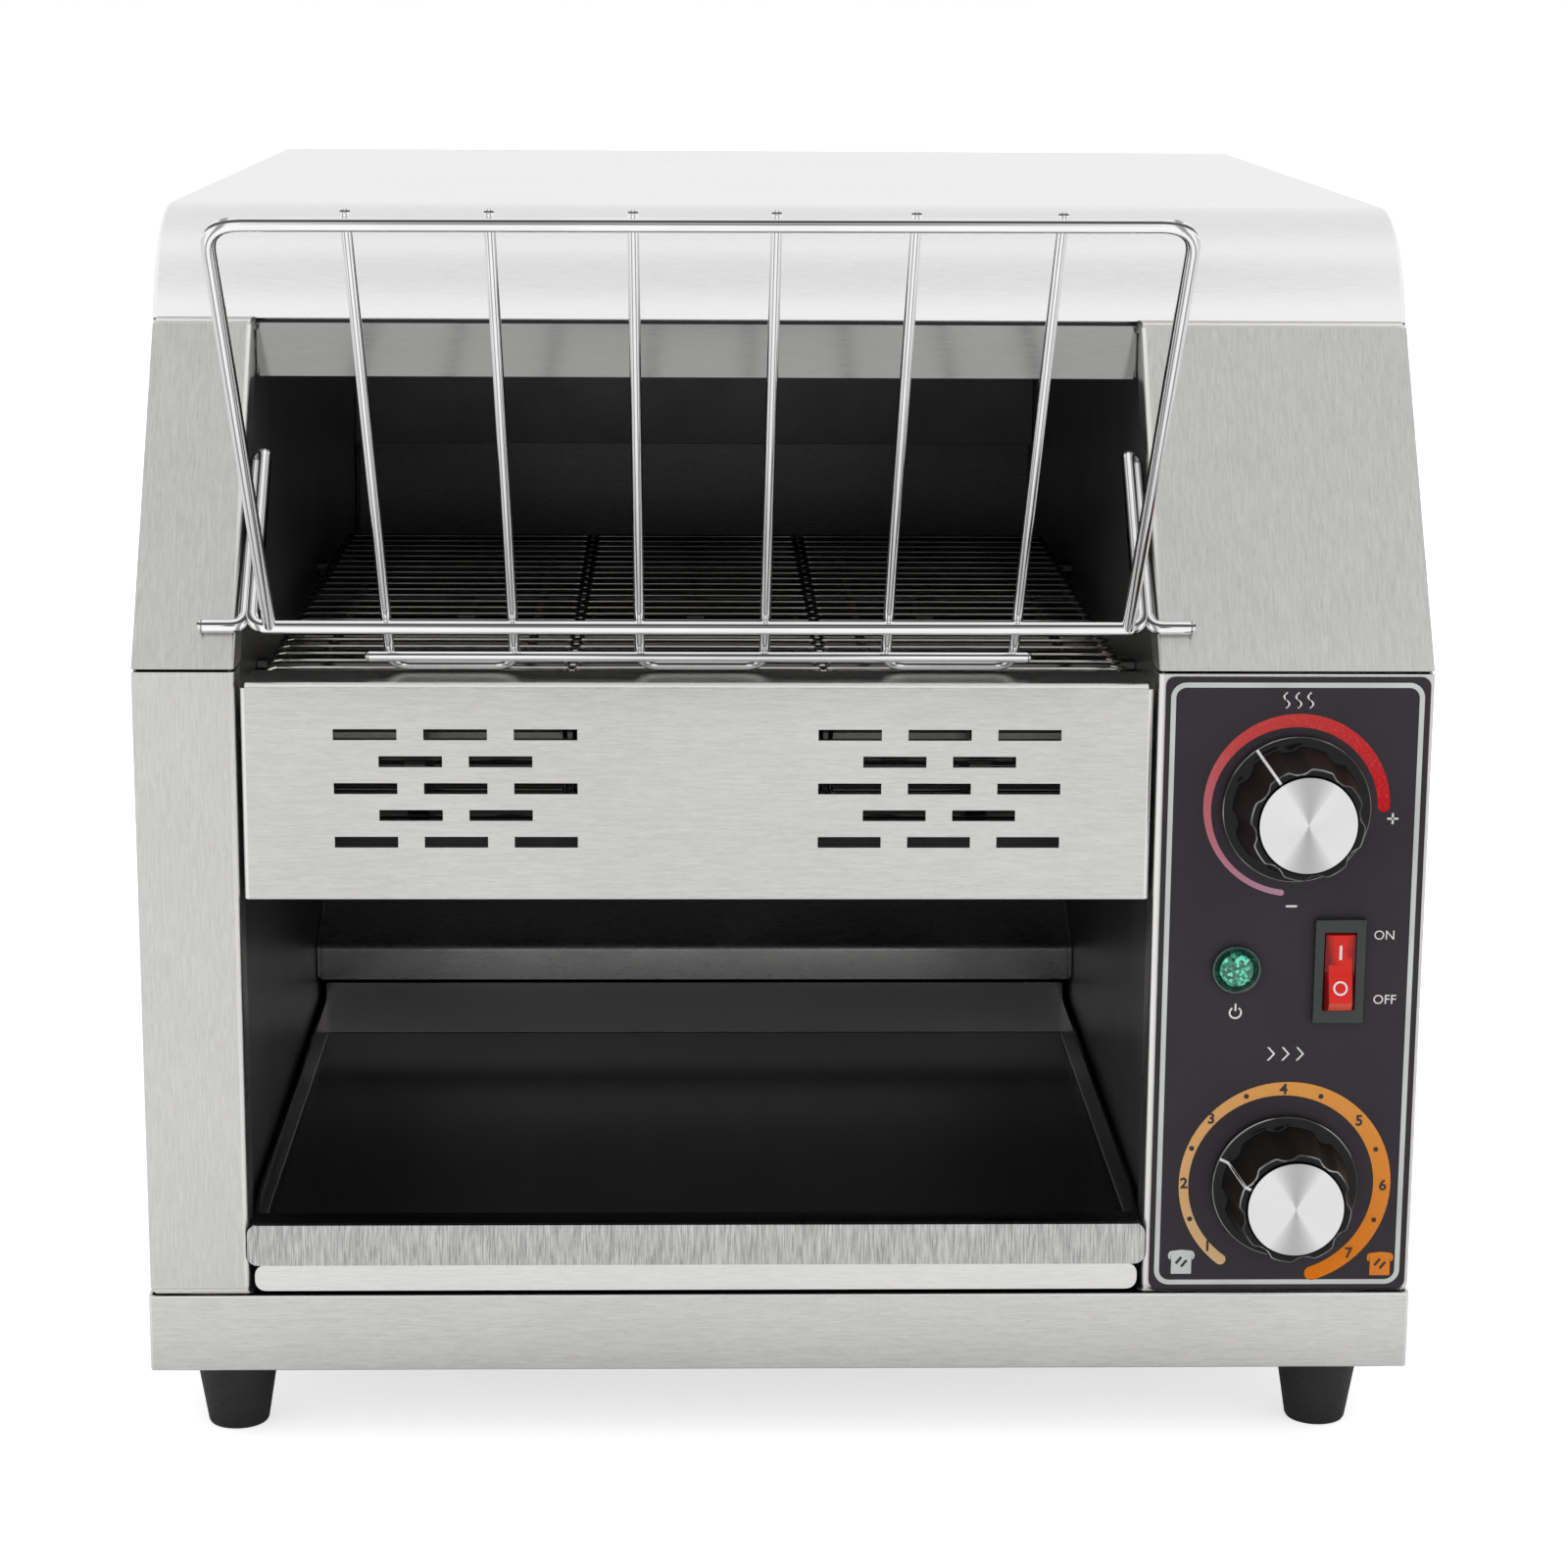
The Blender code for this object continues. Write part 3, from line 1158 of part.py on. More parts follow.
def rack_bar():
    """The bottom bar with its two hairpin legs and the stubs that rest on the slanted faces."""
    low, top, second_top, stub = rack_legs()
    inner = HALF_MOUTH - HAIRPIN_GAP
    outer = inner + HAIRPIN_SPREAD
    corners = [(inner, low), (inner, top), (outer, second_top), (outer, stub), (outer + STUB_LENGTH, stub)]
    left = [Vector((mouth_x(-1, reach), place.y, place.z)) for reach, place in corners[::-1]]
    right = [Vector((mouth_x(1, reach), place.y, place.z)) for reach, place in corners]
    corners = left + right
    route = [corners[0]]
    for before, corner, after in zip(corners, corners[1:], corners[2:]):
        shortest = min((corner - before).length, (after - corner).length)
        radius = shortest / 2 if shortest < RACK_CORNER_RADIUS else RACK_BAR_WIRE
        route += bend_points(before, corner, after, radius, 2)
    return wire("rack bar", route + [corners[-1]], RACK_BAR_WIRE / 2)


def feed_rack():
    """A chromed wire frame: side rods and a top bar, the bottom bar, a short rod and three hairpins."""
    top = Vector((0, FRONT - RACK_REACH + RACK_FRAME_WIRE / 2, BODY_TOP + RACK_RISE))
    low = rack_legs()[0]
    down = (low - top).normalized()
    over = Vector((0, -down.z, down.y))
    left = Vector((MOUTH_LEFT + RACK_GAP_LEFT, 0, 0))
    right = Vector((MOUTH_RIGHT - RACK_GAP_RIGHT, 0, 0))
    draw = Vector((RACK_SIDE_DRAW, 0, 0))
    corners = [low + left + draw, top + left, top + right, low + right - draw]
    rack = wire("feed_rack", path(corners, RACK_CORNER_RADIUS, 3), RACK_FRAME_WIRE / 2)
    join(rack, rack_bar())
    upper_gap = (RACK_FRAME_WIRE + RACK_WIRE) / 2 - RACK_WELD
    lower_gap = (RACK_BAR_WIRE + RACK_WIRE) / 2 - RACK_WELD
    wire_top = top + over * upper_gap
    wire_low = low + over * lower_gap
    along = (wire_low - wire_top).normalized()
    start = wire_top - along * RACK_NUB
    end = wire_low + along * (wire_low.z - KINK_HEIGHT + RACK_LOW_DROP) / -along.z
    wires = [Vector((mouth_x(2 * share, HALF_MOUTH), 0, 0)) for share in RACK_WIRE_SHARES]
    for first, second in zip(wires[::2], wires[1::2]):
        corners = [start + first, end + first, end + second, start + second]
        join(rack, wire("rack hairpin", path(corners, RACK_BEND_RADIUS), RACK_WIRE / 2))
    under = wire_low + along * RACK_ROD_DROP - over * ((RACK_ROD_WIRE + RACK_WIRE) / 2 - RACK_WELD)
    ends = [(mouth_x(2 * share, HALF_MOUTH), under.y, under.z) for share in RACK_ROD_SHARES]
    join(rack, rod("rack rod", *ends, RACK_ROD_WIRE / 2, steps=TINY_ROUND))
    dress(rack, CHROME)


# Control panel

def overlay():
    holes = [circle(centre, CONTROL_BUSH / 2 + CLEAR, SMALL_ROUND) for centre in (HEAT_KNOB, SPEED_KNOB)]
    holes.append(circle(LAMP, LAMP_BARREL_WIDTH / 2 + CLEAR, SMALL_ROUND))
    holes.append(rectangle(*switch_hole()))
    outline = rounded(OVERLAY_LEFT, OVERLAY_BOTTOM, OVERLAY_RIGHT, OVERLAY_TOP, OVERLAY_RADIUS)
    place = across("Y", OVERLAY_FACE, OVERLAY_FACE + OVERLAY_THICK)
    dress(plate("control_overlay", outline, place, holes), BLACK_PANEL)


def knob(name, centre):
    """A skirted, fluted knob with a metal cap let into its face, on a round spindle."""
    x, z = centre
    back = OVERLAY_FACE - KNOB_STANDOFF
    front = back - KNOB_FACE + CAP_PROUD
    skirt = back - KNOB_SKIRT
    bore = SPINDLE_WIDTH / 2 + CLEAR
    recess = CAP_WIDTH / 2 + CLEAR
    body = rod(name, (x, back, z), (x, skirt, z), KNOB_SKIRT_WIDTH / 2, steps=KNOB_ROUND)
    ends = (x, skirt + SHEET, z), (x, front, z)
    grip = rod(name + " grip", *ends, KNOB_BASE_WIDTH / 2, KNOB_TOP_WIDTH / 2, steps=KNOB_ROUND)
    low = KNOB_BASE_WIDTH / 2 + FLUTE_RADIUS - FLUTE_DEPTH
    high = KNOB_TOP_WIDTH / 2 + FLUTE_RADIUS - FLUTE_DEPTH
    for index in range(KNOB_FLUTES):
        angle = math.radians(FLUTE_START_ANGLE + index * 360 / KNOB_FLUTES)
        foot = Vector((x + low * math.cos(angle), skirt + 2 * SHEET, z + low * math.sin(angle)))
        head = Vector((x + high * math.cos(angle), front, z + high * math.sin(angle)))
        end = head + (head - foot).normalized() * OVERCUT
        cut(grip, rod("flute", foot, end, FLUTE_RADIUS, steps=SMALL_ROUND))
    join(body, grip)
    face = front - CAP_PROUD
    seat = face + CAP_THICK
    cut(body, rod("cap recess", (x, seat + CLEAR, z), (x, front - OVERCUT, z), recess, steps=ROUND))
    cut(body, rod("spindle bore", (x, back + OVERCUT, z), (x, back - SPINDLE_GRIP - CLEAR, z), bore))
    dress(body, BLACK_PLASTIC)
    dress(rod(name + "_cap", (x, seat, z), (x, face, z), CAP_WIDTH / 2, steps=KNOB_ROUND), BRIGHT_STEEL)


def control(name, centre, spindle_name):
    """The switch body behind the fascia, with a threaded bush that the spindle turns in."""
    x, z = centre
    start = FRONT + SHEET + CLEAR
    half = CONTROL_WIDTH / 2
    body = box(name, (x - half, start, z - half), (x + half, start + CONTROL_DEPTH, z + half))
    ends = (x, start + SHEET, z), (x, OVERLAY_FACE, z)
    join(body, rod(name + " bush", *ends, CONTROL_BUSH / 2, steps=MEDIUM_ROUND))
    depth = start + SPINDLE_DEPTH
    ends = (x, OVERLAY_FACE - OVERCUT, z), (x, depth + CLEAR, z)
    cut(body, rod(name + " bore", *ends, SPINDLE_WIDTH / 2 + CLEAR))
    dress(body, BLACK_PLASTIC)
    tip = OVERLAY_FACE - KNOB_STANDOFF - SPINDLE_GRIP
    dress(rod(spindle_name, (x, depth, z), (x, tip, z), SPINDLE_WIDTH / 2), BRASS)


def lamp():
    x, z = LAMP
    bezel, barrel, bore = LAMP_BEZEL_WIDTH / 2, LAMP_BARREL_WIDTH / 2, LAMP_LENS_WIDTH / 2 + CLEAR
    profile = [(0, -LAMP_LENS_DEPTH), (bore, -LAMP_LENS_DEPTH), (bore, LAMP_BEZEL)]
    profile += [(bezel - SHEET / 2, LAMP_BEZEL), (bezel, LAMP_BEZEL / 2), (bezel, 0)]
    profile += [(barrel, 0), (barrel, -LAMP_DEPTH), (0, -LAMP_DEPTH)]
    dress(turned("lamp_body", profile, (x, PANEL_FACE, z), "-Y", MEDIUM_ROUND), CHROME)
    lens = LAMP_LENS_WIDTH / 2
    dome = LAMP_BEZEL + LAMP_LENS_PROUD
    low = CLEAR - LAMP_LENS_DEPTH
    shoulder = dome - LAMP_LENS_PROUD / 4
    profile = [(0, dome), (lens / 2, shoulder), (lens, LAMP_BEZEL), (lens, low), (0, low)]
    dress(turned("lamp_lens", profile, (x, PANEL_FACE, z), "-Y"), GREEN_LENS)


def switch():
    """A bezelled housing, and a rocker that tilts about a level axis in it."""
    x, z = SWITCH
    half_width, half_height = BEZEL_WIDTH / 2, BEZEL_HEIGHT / 2
    face = PANEL_FACE - BEZEL_PROUD
    low, high = (x - half_width, face, z - half_height), (x + half_width, PANEL_FACE, z + half_height)
    housing = box("switch_housing", low, high)
    room_width = ROCKER_WIDTH / 2 + ROCKER_ROOM
    room_height = ROCKER_HEIGHT / 2 + ROCKER_ROOM
    wide, tall = room_width + SWITCH_WALL, room_height + SWITCH_WALL
    back = FRONT + SWITCH_DEPTH
    join(housing, box("switch body", (x - wide, face + SHEET, z - tall), (x + wide, back, z + tall)))
    low = (x - room_width, face - OVERCUT, z - room_height)
    cut(housing, box("switch room", low, (x + room_width, back - SWITCH_WALL, z + room_height)))
    dress(housing, BLACK_PLASTIC)
    reach = ROCKER_HEIGHT / 2
    outline = [(-ROCKER_DEPTH, -reach / 2), (-ROCKER_DEPTH, reach / 2), (0, reach)]
    outline += [(ROCKER_PROUD, reach - SHEET), (ROCKER_DIP, 0), (ROCKER_PROUD, SHEET - reach), (0, -reach)]
    flat = [(-depth, height) for depth, height in outline]
    pivot = Vector((x, face, z))
    rocker = plate("power_rocker", flat, across("X", -ROCKER_WIDTH / 2, ROCKER_WIDTH / 2))
    rocker.data.transform(rocker.matrix_world)
    rocker.matrix_world = Matrix.Translation(pivot) @ Matrix.Rotation(math.radians(-ROCKER_TILT), 4, "X")
    dress(rocker, RED_PLASTIC)


def controls():
    overlay()
    knob("heat_knob", HEAT_KNOB)
    knob("speed_knob", SPEED_KNOB)
    control("heat_control", HEAT_KNOB, "heat_spindle")
    control("speed_control", SPEED_KNOB, "speed_spindle")
    lamp()
    switch()


# Fan and wiring parts

def fan():
    """A square axial fan on the back panel."""
    x, z = FAN_CENTRE
    half = FAN_SIZE / 2
    back = BACK - SHEET - CLEAR
    front = back - FAN_DEPTH
    frame = box("fan_frame", (x - half, front, z - half), (x + half, back, z + half))
    cut(frame, rod("fan bore", (x, front - OVERCUT, z), (x, back + OVERCUT, z), FAN_BORE / 2, steps=KNOB_ROUND))
    hub = FAN_HUB_WIDTH / 2
    plate_front = front + FAN_HUB_PLATE
    join(frame, rod("fan plate", (x, front, z), (x, plate_front, z), hub, steps=ROUND))
    for turn in (45, 135):
        bar = box("fan strut", (-half, 0, -FAN_STRUT / 2), (half, FAN_HUB_PLATE, FAN_STRUT / 2))
        spin = Matrix.Rotation(math.radians(turn), 4, "Y")
        bar.matrix_world = Matrix.Translation((x, front, z)) @ spin @ bar.matrix_world
        join(frame, bar)
    dress(frame, BLACK_PLASTIC)
    start = plate_front + CLEAR
    rotor = rod("fan_rotor", (x, start, z), (x, back - FAN_HUB_PLATE, z), hub - SHEET, steps=ROUND)
    middle = (start + back - FAN_HUB_PLATE) / 2
    root, tip = hub - 2 * SHEET, FAN_BORE / 2 - FAN_TIP_GAP
    half_chord, half_thick = FAN_BLADE_CHORD / 2, FAN_BLADE_THICK / 2
    pitch = Matrix.Rotation(math.radians(FAN_BLADE_PITCH), 4, "X")
    for index in range(FAN_BLADES):
        blade = box("fan blade", (root, -half_chord, -half_thick), (tip, half_chord, half_thick))
        spin = Matrix.Rotation(index * 2 * math.pi / FAN_BLADES, 4, "Y")
        blade.matrix_world = Matrix.Translation((x, middle, z)) @ spin @ pitch @ blade.matrix_world
        join(rotor, blade)
    dress(rotor, BLACK_PLASTIC)


def gland():
    """A strain-relief gland through the back panel, its bore empty."""
    x, z = GLAND_CENTRE
    bore, thread, wide = GLAND_BORE / 2, GLAND_THREAD / 2, GLAND_WIDTH / 2
    inside = -SHEET - CLEAR
    nut = inside - GLAND_NUT
    profile = [(bore, GLAND_REACH), (thread, GLAND_REACH), (wide - GLAND_STEP, GLAND_FLANGE)]
    profile += [(wide, GLAND_FLANGE), (wide, CLEAR), (thread, CLEAR)]
    profile += [(thread, inside), (wide, inside), (wide, nut), (bore, nut)]
    made = turned("cable_gland", profile, (x, BACK, z), "-Y", SMALL_ROUND)
    made.matrix_world = made.matrix_world @ Matrix.Rotation(math.pi, 4, "X")
    dress(made, BLACK_PLASTIC)


def terminal_block():
    length, width, height = TERMINAL_SIZE
    x, y = COMPARTMENT_MIDDLE, BACK - TERMINAL_FROM_BACK
    floor = BASE_BOTTOM + SHEET + CLEAR
    top = floor + height
    low, high = (x - length / 2, y - width / 2, floor), (x + length / 2, y + width / 2, top)
    block = box("terminal_block", low, high)
    pitch = length / TERMINAL_WELLS
    for index in range(TERMINAL_WELLS):
        well_x = x + (index - (TERMINAL_WELLS - 1) / 2) * pitch
        bottom = top - TERMINAL_WELL_DEPTH
        cut(block, rod("well", (well_x, y, bottom), (well_x, y, top + OVERCUT), TERMINAL_WELL_RADIUS))
    dress(block, CERAMIC)


clear_scene()
PARTS = collection("conveyor oven")
CUTTERS = collection("cutters")
for side_label, side_sign in SIDES:
    side_panel(side_label + "_side_panel", side_sign)
front_sheets()
hood()
back_panel()
base_pan()
feet()
header_and_cavity()
heaters()
belt_drive()
front_cover()
trays()
feed_rack()
controls()
fan()
gland()
terminal_block()
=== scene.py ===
# Looks of a countertop conveyor toaster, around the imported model.
import math

import bmesh
import bpy
from mathutils import Matrix, Vector

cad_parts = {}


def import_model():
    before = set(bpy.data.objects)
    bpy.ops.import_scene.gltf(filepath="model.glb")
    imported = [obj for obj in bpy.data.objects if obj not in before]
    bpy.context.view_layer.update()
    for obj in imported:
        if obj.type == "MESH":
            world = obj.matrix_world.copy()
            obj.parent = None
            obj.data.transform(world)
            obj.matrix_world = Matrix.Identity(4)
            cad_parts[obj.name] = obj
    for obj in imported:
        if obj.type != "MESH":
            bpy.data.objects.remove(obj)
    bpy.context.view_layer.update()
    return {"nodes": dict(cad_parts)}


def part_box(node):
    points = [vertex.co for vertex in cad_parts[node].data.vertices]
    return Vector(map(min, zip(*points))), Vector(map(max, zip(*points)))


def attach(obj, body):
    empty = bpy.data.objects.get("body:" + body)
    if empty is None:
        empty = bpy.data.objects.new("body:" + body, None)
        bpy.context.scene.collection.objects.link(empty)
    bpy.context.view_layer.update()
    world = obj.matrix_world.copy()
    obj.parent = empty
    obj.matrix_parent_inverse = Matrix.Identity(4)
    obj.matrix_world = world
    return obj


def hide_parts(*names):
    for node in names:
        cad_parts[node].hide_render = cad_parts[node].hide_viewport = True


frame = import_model()
NODES = frame["nodes"]

# Body
FRONT = -0.175625
BACK = 0.265375
BODY_TOP = 0.3564
SHEET = 0.0008
HALF_HOOD = 0.18465
HOOD_SIDE_DEPTH = 0.012
MOUTH_CENTRE = -0.02475
HALF_MOUTH = 0.13025
BEND_Y = -0.066627
BEND_Z = 0.3114
BEND_RADIUS = 0.045
BEND_ANGLE = 72.0
KINK_HEIGHT = 0.2326

# Control panel
OVERLAY_LEFT = 0.1076
OVERLAY_RIGHT = 0.1830
OVERLAY_BOTTOM = 0.0487
OVERLAY_TOP = 0.2314
OVERLAY_FACE = -0.176325
PANEL_FACE = -0.176625
HEAT_KNOB = (0.1456, 0.1936)
SPEED_KNOB = (0.1462, 0.0810)
LAMP = (0.1302, 0.1460)
SWITCH = (0.1598, 0.14565)
PRINT = 0.00006
KNOB_BACK = OVERLAY_FACE - 0.0005


# Materials

class Nodes:
    """A node tree, with short calls for the nodes that finishes, copies and the room share."""

    def __init__(self, tree):
        self.tree = tree

    def feed(self, socket, value):
        """Links a socket to another node's output, or gives it a number, a vector or a colour."""
        if isinstance(value, bpy.types.NodeSocket):
            self.tree.links.new(value, socket)
        else:
            socket.default_value = value

    def node(self, kind, inputs=None, **settings):
        """A new node with its settings, and with its inputs fed."""
        made = self.tree.nodes.new(kind)
        for key, value in settings.items():
            setattr(made, key, value)
        for socket, value in (inputs or {}).items():
            self.feed(made.inputs[socket], value)
        return made

    def reckon(self, operation, first, second=0.0):
        """The result of one sum; those of a single value leave out the second."""
        return self.node("ShaderNodeMath", {0: first, 1: second}, operation=operation).outputs[0]

    def span(self, value, low, high, to_low=0.0, to_high=1.0, **settings):
        """A value carried from one range into another and held at its ends."""
        ends = {"Value": value, "From Min": low, "From Max": high, "To Min": to_low, "To Max": to_high}
        return self.node("ShaderNodeMapRange", ends, **settings).outputs["Result"]


class Shader(Nodes):
    """A material's node tree, which feeds its one shader."""

    def __init__(self, name, colour, roughness, metallic=0.0, **sockets):
        self.material = bpy.data.materials.new(name)
        self.material.use_nodes = True
        super().__init__(self.material.node_tree)
        self.shader = self.tree.nodes["Principled BSDF"]
        self.set(Base_Color=(*colour, 1), Roughness=roughness, Metallic=metallic, **sockets)

    def set(self, **sockets):
        """Feeds the shader's sockets, named with a low line for each space."""
        for socket, value in sockets.items():
            self.feed(self.shader.inputs[socket.replace("_", " ")], value)

    def place(self, stretch=(1, 1, 1), shift=(0, 0, 0)):
        """Object coordinates, stretched and then moved."""
        vector = self.node("ShaderNodeTexCoord").outputs["Object"]
        inputs = {"Vector": vector, "Location": shift, "Scale": stretch}
        return self.node("ShaderNodeMapping", inputs).outputs[0]

    def axes(self, vector=None):
        """The three parts of a vector, or of the object coordinates."""
        vector = self.place() if vector is None else vector
        return list(self.node("ShaderNodeSeparateXYZ", {0: vector}).outputs)

    def facing(self):
        """The three parts of the surface's own direction."""
        return self.axes(self.node("ShaderNodeNewGeometry").outputs["Normal"])

    def attribute(self, name):
        """A value that the piece's own vertices carry."""
        return self.node("ShaderNodeAttribute", attribute_name=name).outputs["Fac"]

    def noise(self, scale, detail=2, roughness=0.5, vector=None):
        """Noise over the object coordinates or over another vector."""
        vector = self.place() if vector is None else vector
        settings = {"Vector": vector, "Scale": scale, "Detail": detail, "Roughness": roughness}
        return self.node("ShaderNodeTexNoise", settings).outputs["Fac"]

    def blend(self, share, first, second):
        """A mix of two colours, each a node's output or three numbers."""
        first, second = ((*tone, 1) if isinstance(tone, tuple) else tone for tone in (first, second))
        return self.node("ShaderNodeMix", {0: share, 6: first, 7: second}, data_type="RGBA").outputs[2]

    def ramp(self, value, stops):
        """A colour looked up between stops of (position, colour), the first one at 0."""
        made = self.node("ShaderNodeValToRGB", {"Fac": value})
        elements = made.color_ramp.elements
        elements[1].position = stops[1][0]
        for position, _ in stops[2:]:
            elements.new(position)
        for element, (_, colour) in zip(elements, stops):
            element.color = (*colour, 1)
        return made.outputs["Color"]

    def bump(self, height, strength, distance=0.0001):
        """Faint relief on the surface."""
        relief = self.node("ShaderNodeBump", {"Height": height, "Strength": strength, "Distance": distance})
        self.set(Normal=relief.outputs["Normal"])

    def surface(self, colour, grain, reach, smooth, rough, depth, distance=0.0001):
        """Colour, a roughness that follows the grain round its middle, and the grain as faint relief."""
        self.set(Base_Color=colour, Roughness=self.span(grain, 0.5 - reach, 0.5 + reach, smooth, rough))
        self.bump(grain, depth, distance)
        return self.material


NARROW = 0.15
WIDE = 0.20
# How much lighter the painted highlight on marked outer folds is.
PAINTED_FOLD_HIGHLIGHT = 1.30
DARKER_BEHIND = (-0.145, -0.085)
DARKER_BELOW = (0.2205, 0.2265)
CHUTE_FAR_UP = (0.17, 0.20)
TRAY_LIP = (-0.1755, -0.1740)
GLOSSY_SKIRT = (KNOB_BACK - 0.0040, KNOB_BACK - 0.0030)
RING_PITCH = 6000.0
GRAIN_PITCH = 1150.0
DOT_PITCH = 11800


def scaled(colour, share):
    """A colour made lighter or darker."""
    return tuple(min(1.0, channel * share) for channel in colour)


def grey(tone):
    return (tone, tone, tone)


def brushed(name, colour, roughness, axis, contrast=0.10, depth=0.30):
    """Brushed sheet metal: scratches along an axis, faint clouds, and a painted highlight on the outer
    folds.
    """
    made = Shader(name, colour, roughness, 1.0)
    fine = made.noise(1.0, 2, 0.65, made.place([260 if way in axis else 4800 for way in "XYZ"]))
    broad = made.noise(1.0, 3, 0.6, made.place([120 if way in axis else 1700 for way in "XYZ"]))
    lines = made.reckon("MULTIPLY", made.reckon("ADD", fine, broad), 0.5)
    clouds = made.span(made.noise(14.0), 0.35, 0.65, 0.0, 0.2)
    tone = made.reckon("ADD", made.span(lines, 0.40, 0.60, 0.0, 0.8), clouds)
    face = made.blend(tone, scaled(colour, 1 - contrast), scaled(colour, 1 + contrast))
    # Painted highlight: marked outer folds take a lighter copy of the colour.
    colour = made.blend(made.attribute("fold"), face, scaled(colour, PAINTED_FOLD_HIGHLIGHT))
    return made.surface(colour, lines, NARROW, roughness * 0.85, roughness * 1.15, depth)


def plain(name, colour, roughness, metallic=0.0, scale=400.0, depth=0.1, **sockets):
    """Moulded, painted or printed surface with faint changes of tone and a fine skin."""
    made = Shader(name, colour, roughness, metallic, **sockets)
    tone = made.blend(made.span(made.noise(45.0), 0.35, 0.65), scaled(colour, 0.92), scaled(colour, 1.08))
    return made.surface(tone, made.noise(scale), WIDE, roughness * 0.85, roughness * 1.15, depth)


def heated(name, cool, warm, roughness, metallic, darker_back_and_below=False):
    """Metal that heat has tinted in patches; belt wire can also be made darker inside the oven and on its
    lower run.
    """
    made = Shader(name, cool, roughness, metallic)
    tone = made.blend(made.span(made.noise(22.0, 4, 0.6), 0.38, 0.66), cool, warm)
    if darker_back_and_below:
        _, depth, height = made.axes()
        tone = made.blend(made.span(depth, *DARKER_BEHIND), tone, scaled(warm, 0.55))
        tone = made.blend(made.span(height, *DARKER_BELOW, 1.0, 0.0), tone, scaled(warm, 0.20))
    grain = made.noise(1.0, 2, 0.6, made.place((300, 2500, 2500)))
    return made.surface(tone, grain, WIDE, roughness * 0.8, roughness * 1.2, 0.15)


def tray_finish(name):
    """Tray steel: brushed upright on the lip; on the floor behind it smooth, with stains over a painted
    shade.
    """
    made = Shader(name, grey(0.55), 0.30, 1.0)
    behind = made.span(made.axes()[1], *TRAY_LIP)
    lines = made.noise(1.0, 3, 0.65, made.place((2600, 140, 140)))
    lip = made.blend(made.span(lines, 0.36, 0.64), (0.31, 0.308, 0.305), (0.61, 0.607, 0.60))
    # The floor behind the lip is darker: painted shade, with stains in it.
    stains = made.span(made.noise(9.0, 4, 0.6), 0.35, 0.7)
    shaded_floor_tone = made.blend(stains, (0.29, 0.28, 0.28), (0.24, 0.23, 0.23))
    made.set(Base_Color=made.blend(behind, lip, shaded_floor_tone),
             Roughness=made.span(behind, 0.0, 1.0, 0.30, 0.22))
    made.bump(made.reckon("MULTIPLY", lines, made.reckon("SUBTRACT", 1.0, behind)), 0.3)
    return made.material


def scorched(name, steel, dark, low, high):
    """Sheet steel that turns dark between two heights, and darker still far above them."""
    made = Shader(name, steel, 0.30, 1.0)
    ripple = made.reckon("MULTIPLY", made.noise(30.0, 3, 0.6), 0.02)
    height = made.reckon("ADD", made.axes()[2], ripple)
    share = made.span(height, low, high)
    near = made.blend(share, steel, dark)
    made.set(Metallic=made.span(share, 0.0, 1.0, 1.0, 0.3))
    grain = made.noise(1.0, 2, 0.6, made.place((220, 3200, 3200)))
    tone = made.blend(made.span(height, *CHUTE_FAR_UP), near, scaled(dark, 0.42))
    return made.surface(tone, grain, NARROW, 0.26, 0.34, 0.2)


def spun(name, centre):
    """Turned aluminium: fine rings round the centre, and a painted reflection, lighter to the sides than
    above and below.
    """
    bright = (0.72, 0.72, 0.73)
    made = Shader(name, bright, 0.26, 1.0, Anisotropic=0.6)
    x, _, z = made.axes(made.place(shift=(-centre[0], 0, -centre[1])))
    painted_reflection_lobes = made.reckon("COSINE", made.reckon("MULTIPLY", made.reckon("ARCTAN2", z, x), 2.0))
    flat = made.node("ShaderNodeCombineXYZ", {"X": x, "Y": z}).outputs[0]
    radius = made.node("ShaderNodeVectorMath", {0: flat}, operation="LENGTH").outputs["Value"]
    ring = made.node("ShaderNodeCombineXYZ", {"X": made.reckon("MULTIPLY", radius, RING_PITCH)}).outputs[0]
    tangent = made.node("ShaderNodeTangent", direction_type="RADIAL", axis="Y")
    made.set(Tangent=tangent.outputs[0])
    # Painted reflection: lighter to the sides of the centre, darker above and below it.
    tone = made.blend(made.span(painted_reflection_lobes, -1.0, -0.35), grey(0.42), bright)
    return made.surface(tone, made.noise(1.0, 2, 0.7, ring), WIDE, 0.18, 0.32, 0.12, 0.00005)


def glitter(name):
    """A green lens over crushed reflecting grains, whose brightest specks are painted glints."""
    made = Shader(name, (0.0, 0.30, 0.16), 0.12, Coat_Weight=0.8, Coat_Roughness=0.05)
    cells = made.node("ShaderNodeTexVoronoi", {"Vector": made.place(), "Scale": GRAIN_PITCH})
    red, green, _ = made.node("ShaderNodeSeparateColor", {0: cells.outputs["Color"]}).outputs
    # The brightest stops paint glints on the grains; the green between them is the lens's own.
    made.set(Base_Color=made.ramp(red, ((0.0, (0.0, 0.05, 0.03)), (0.40, (0.0, 0.17, 0.09)),
                                        (0.70, (0.01, 0.48, 0.28)), (0.86, (0.16, 0.90, 0.62)))))
    made.bump(green, 0.4, 0.0002)
    return made.material


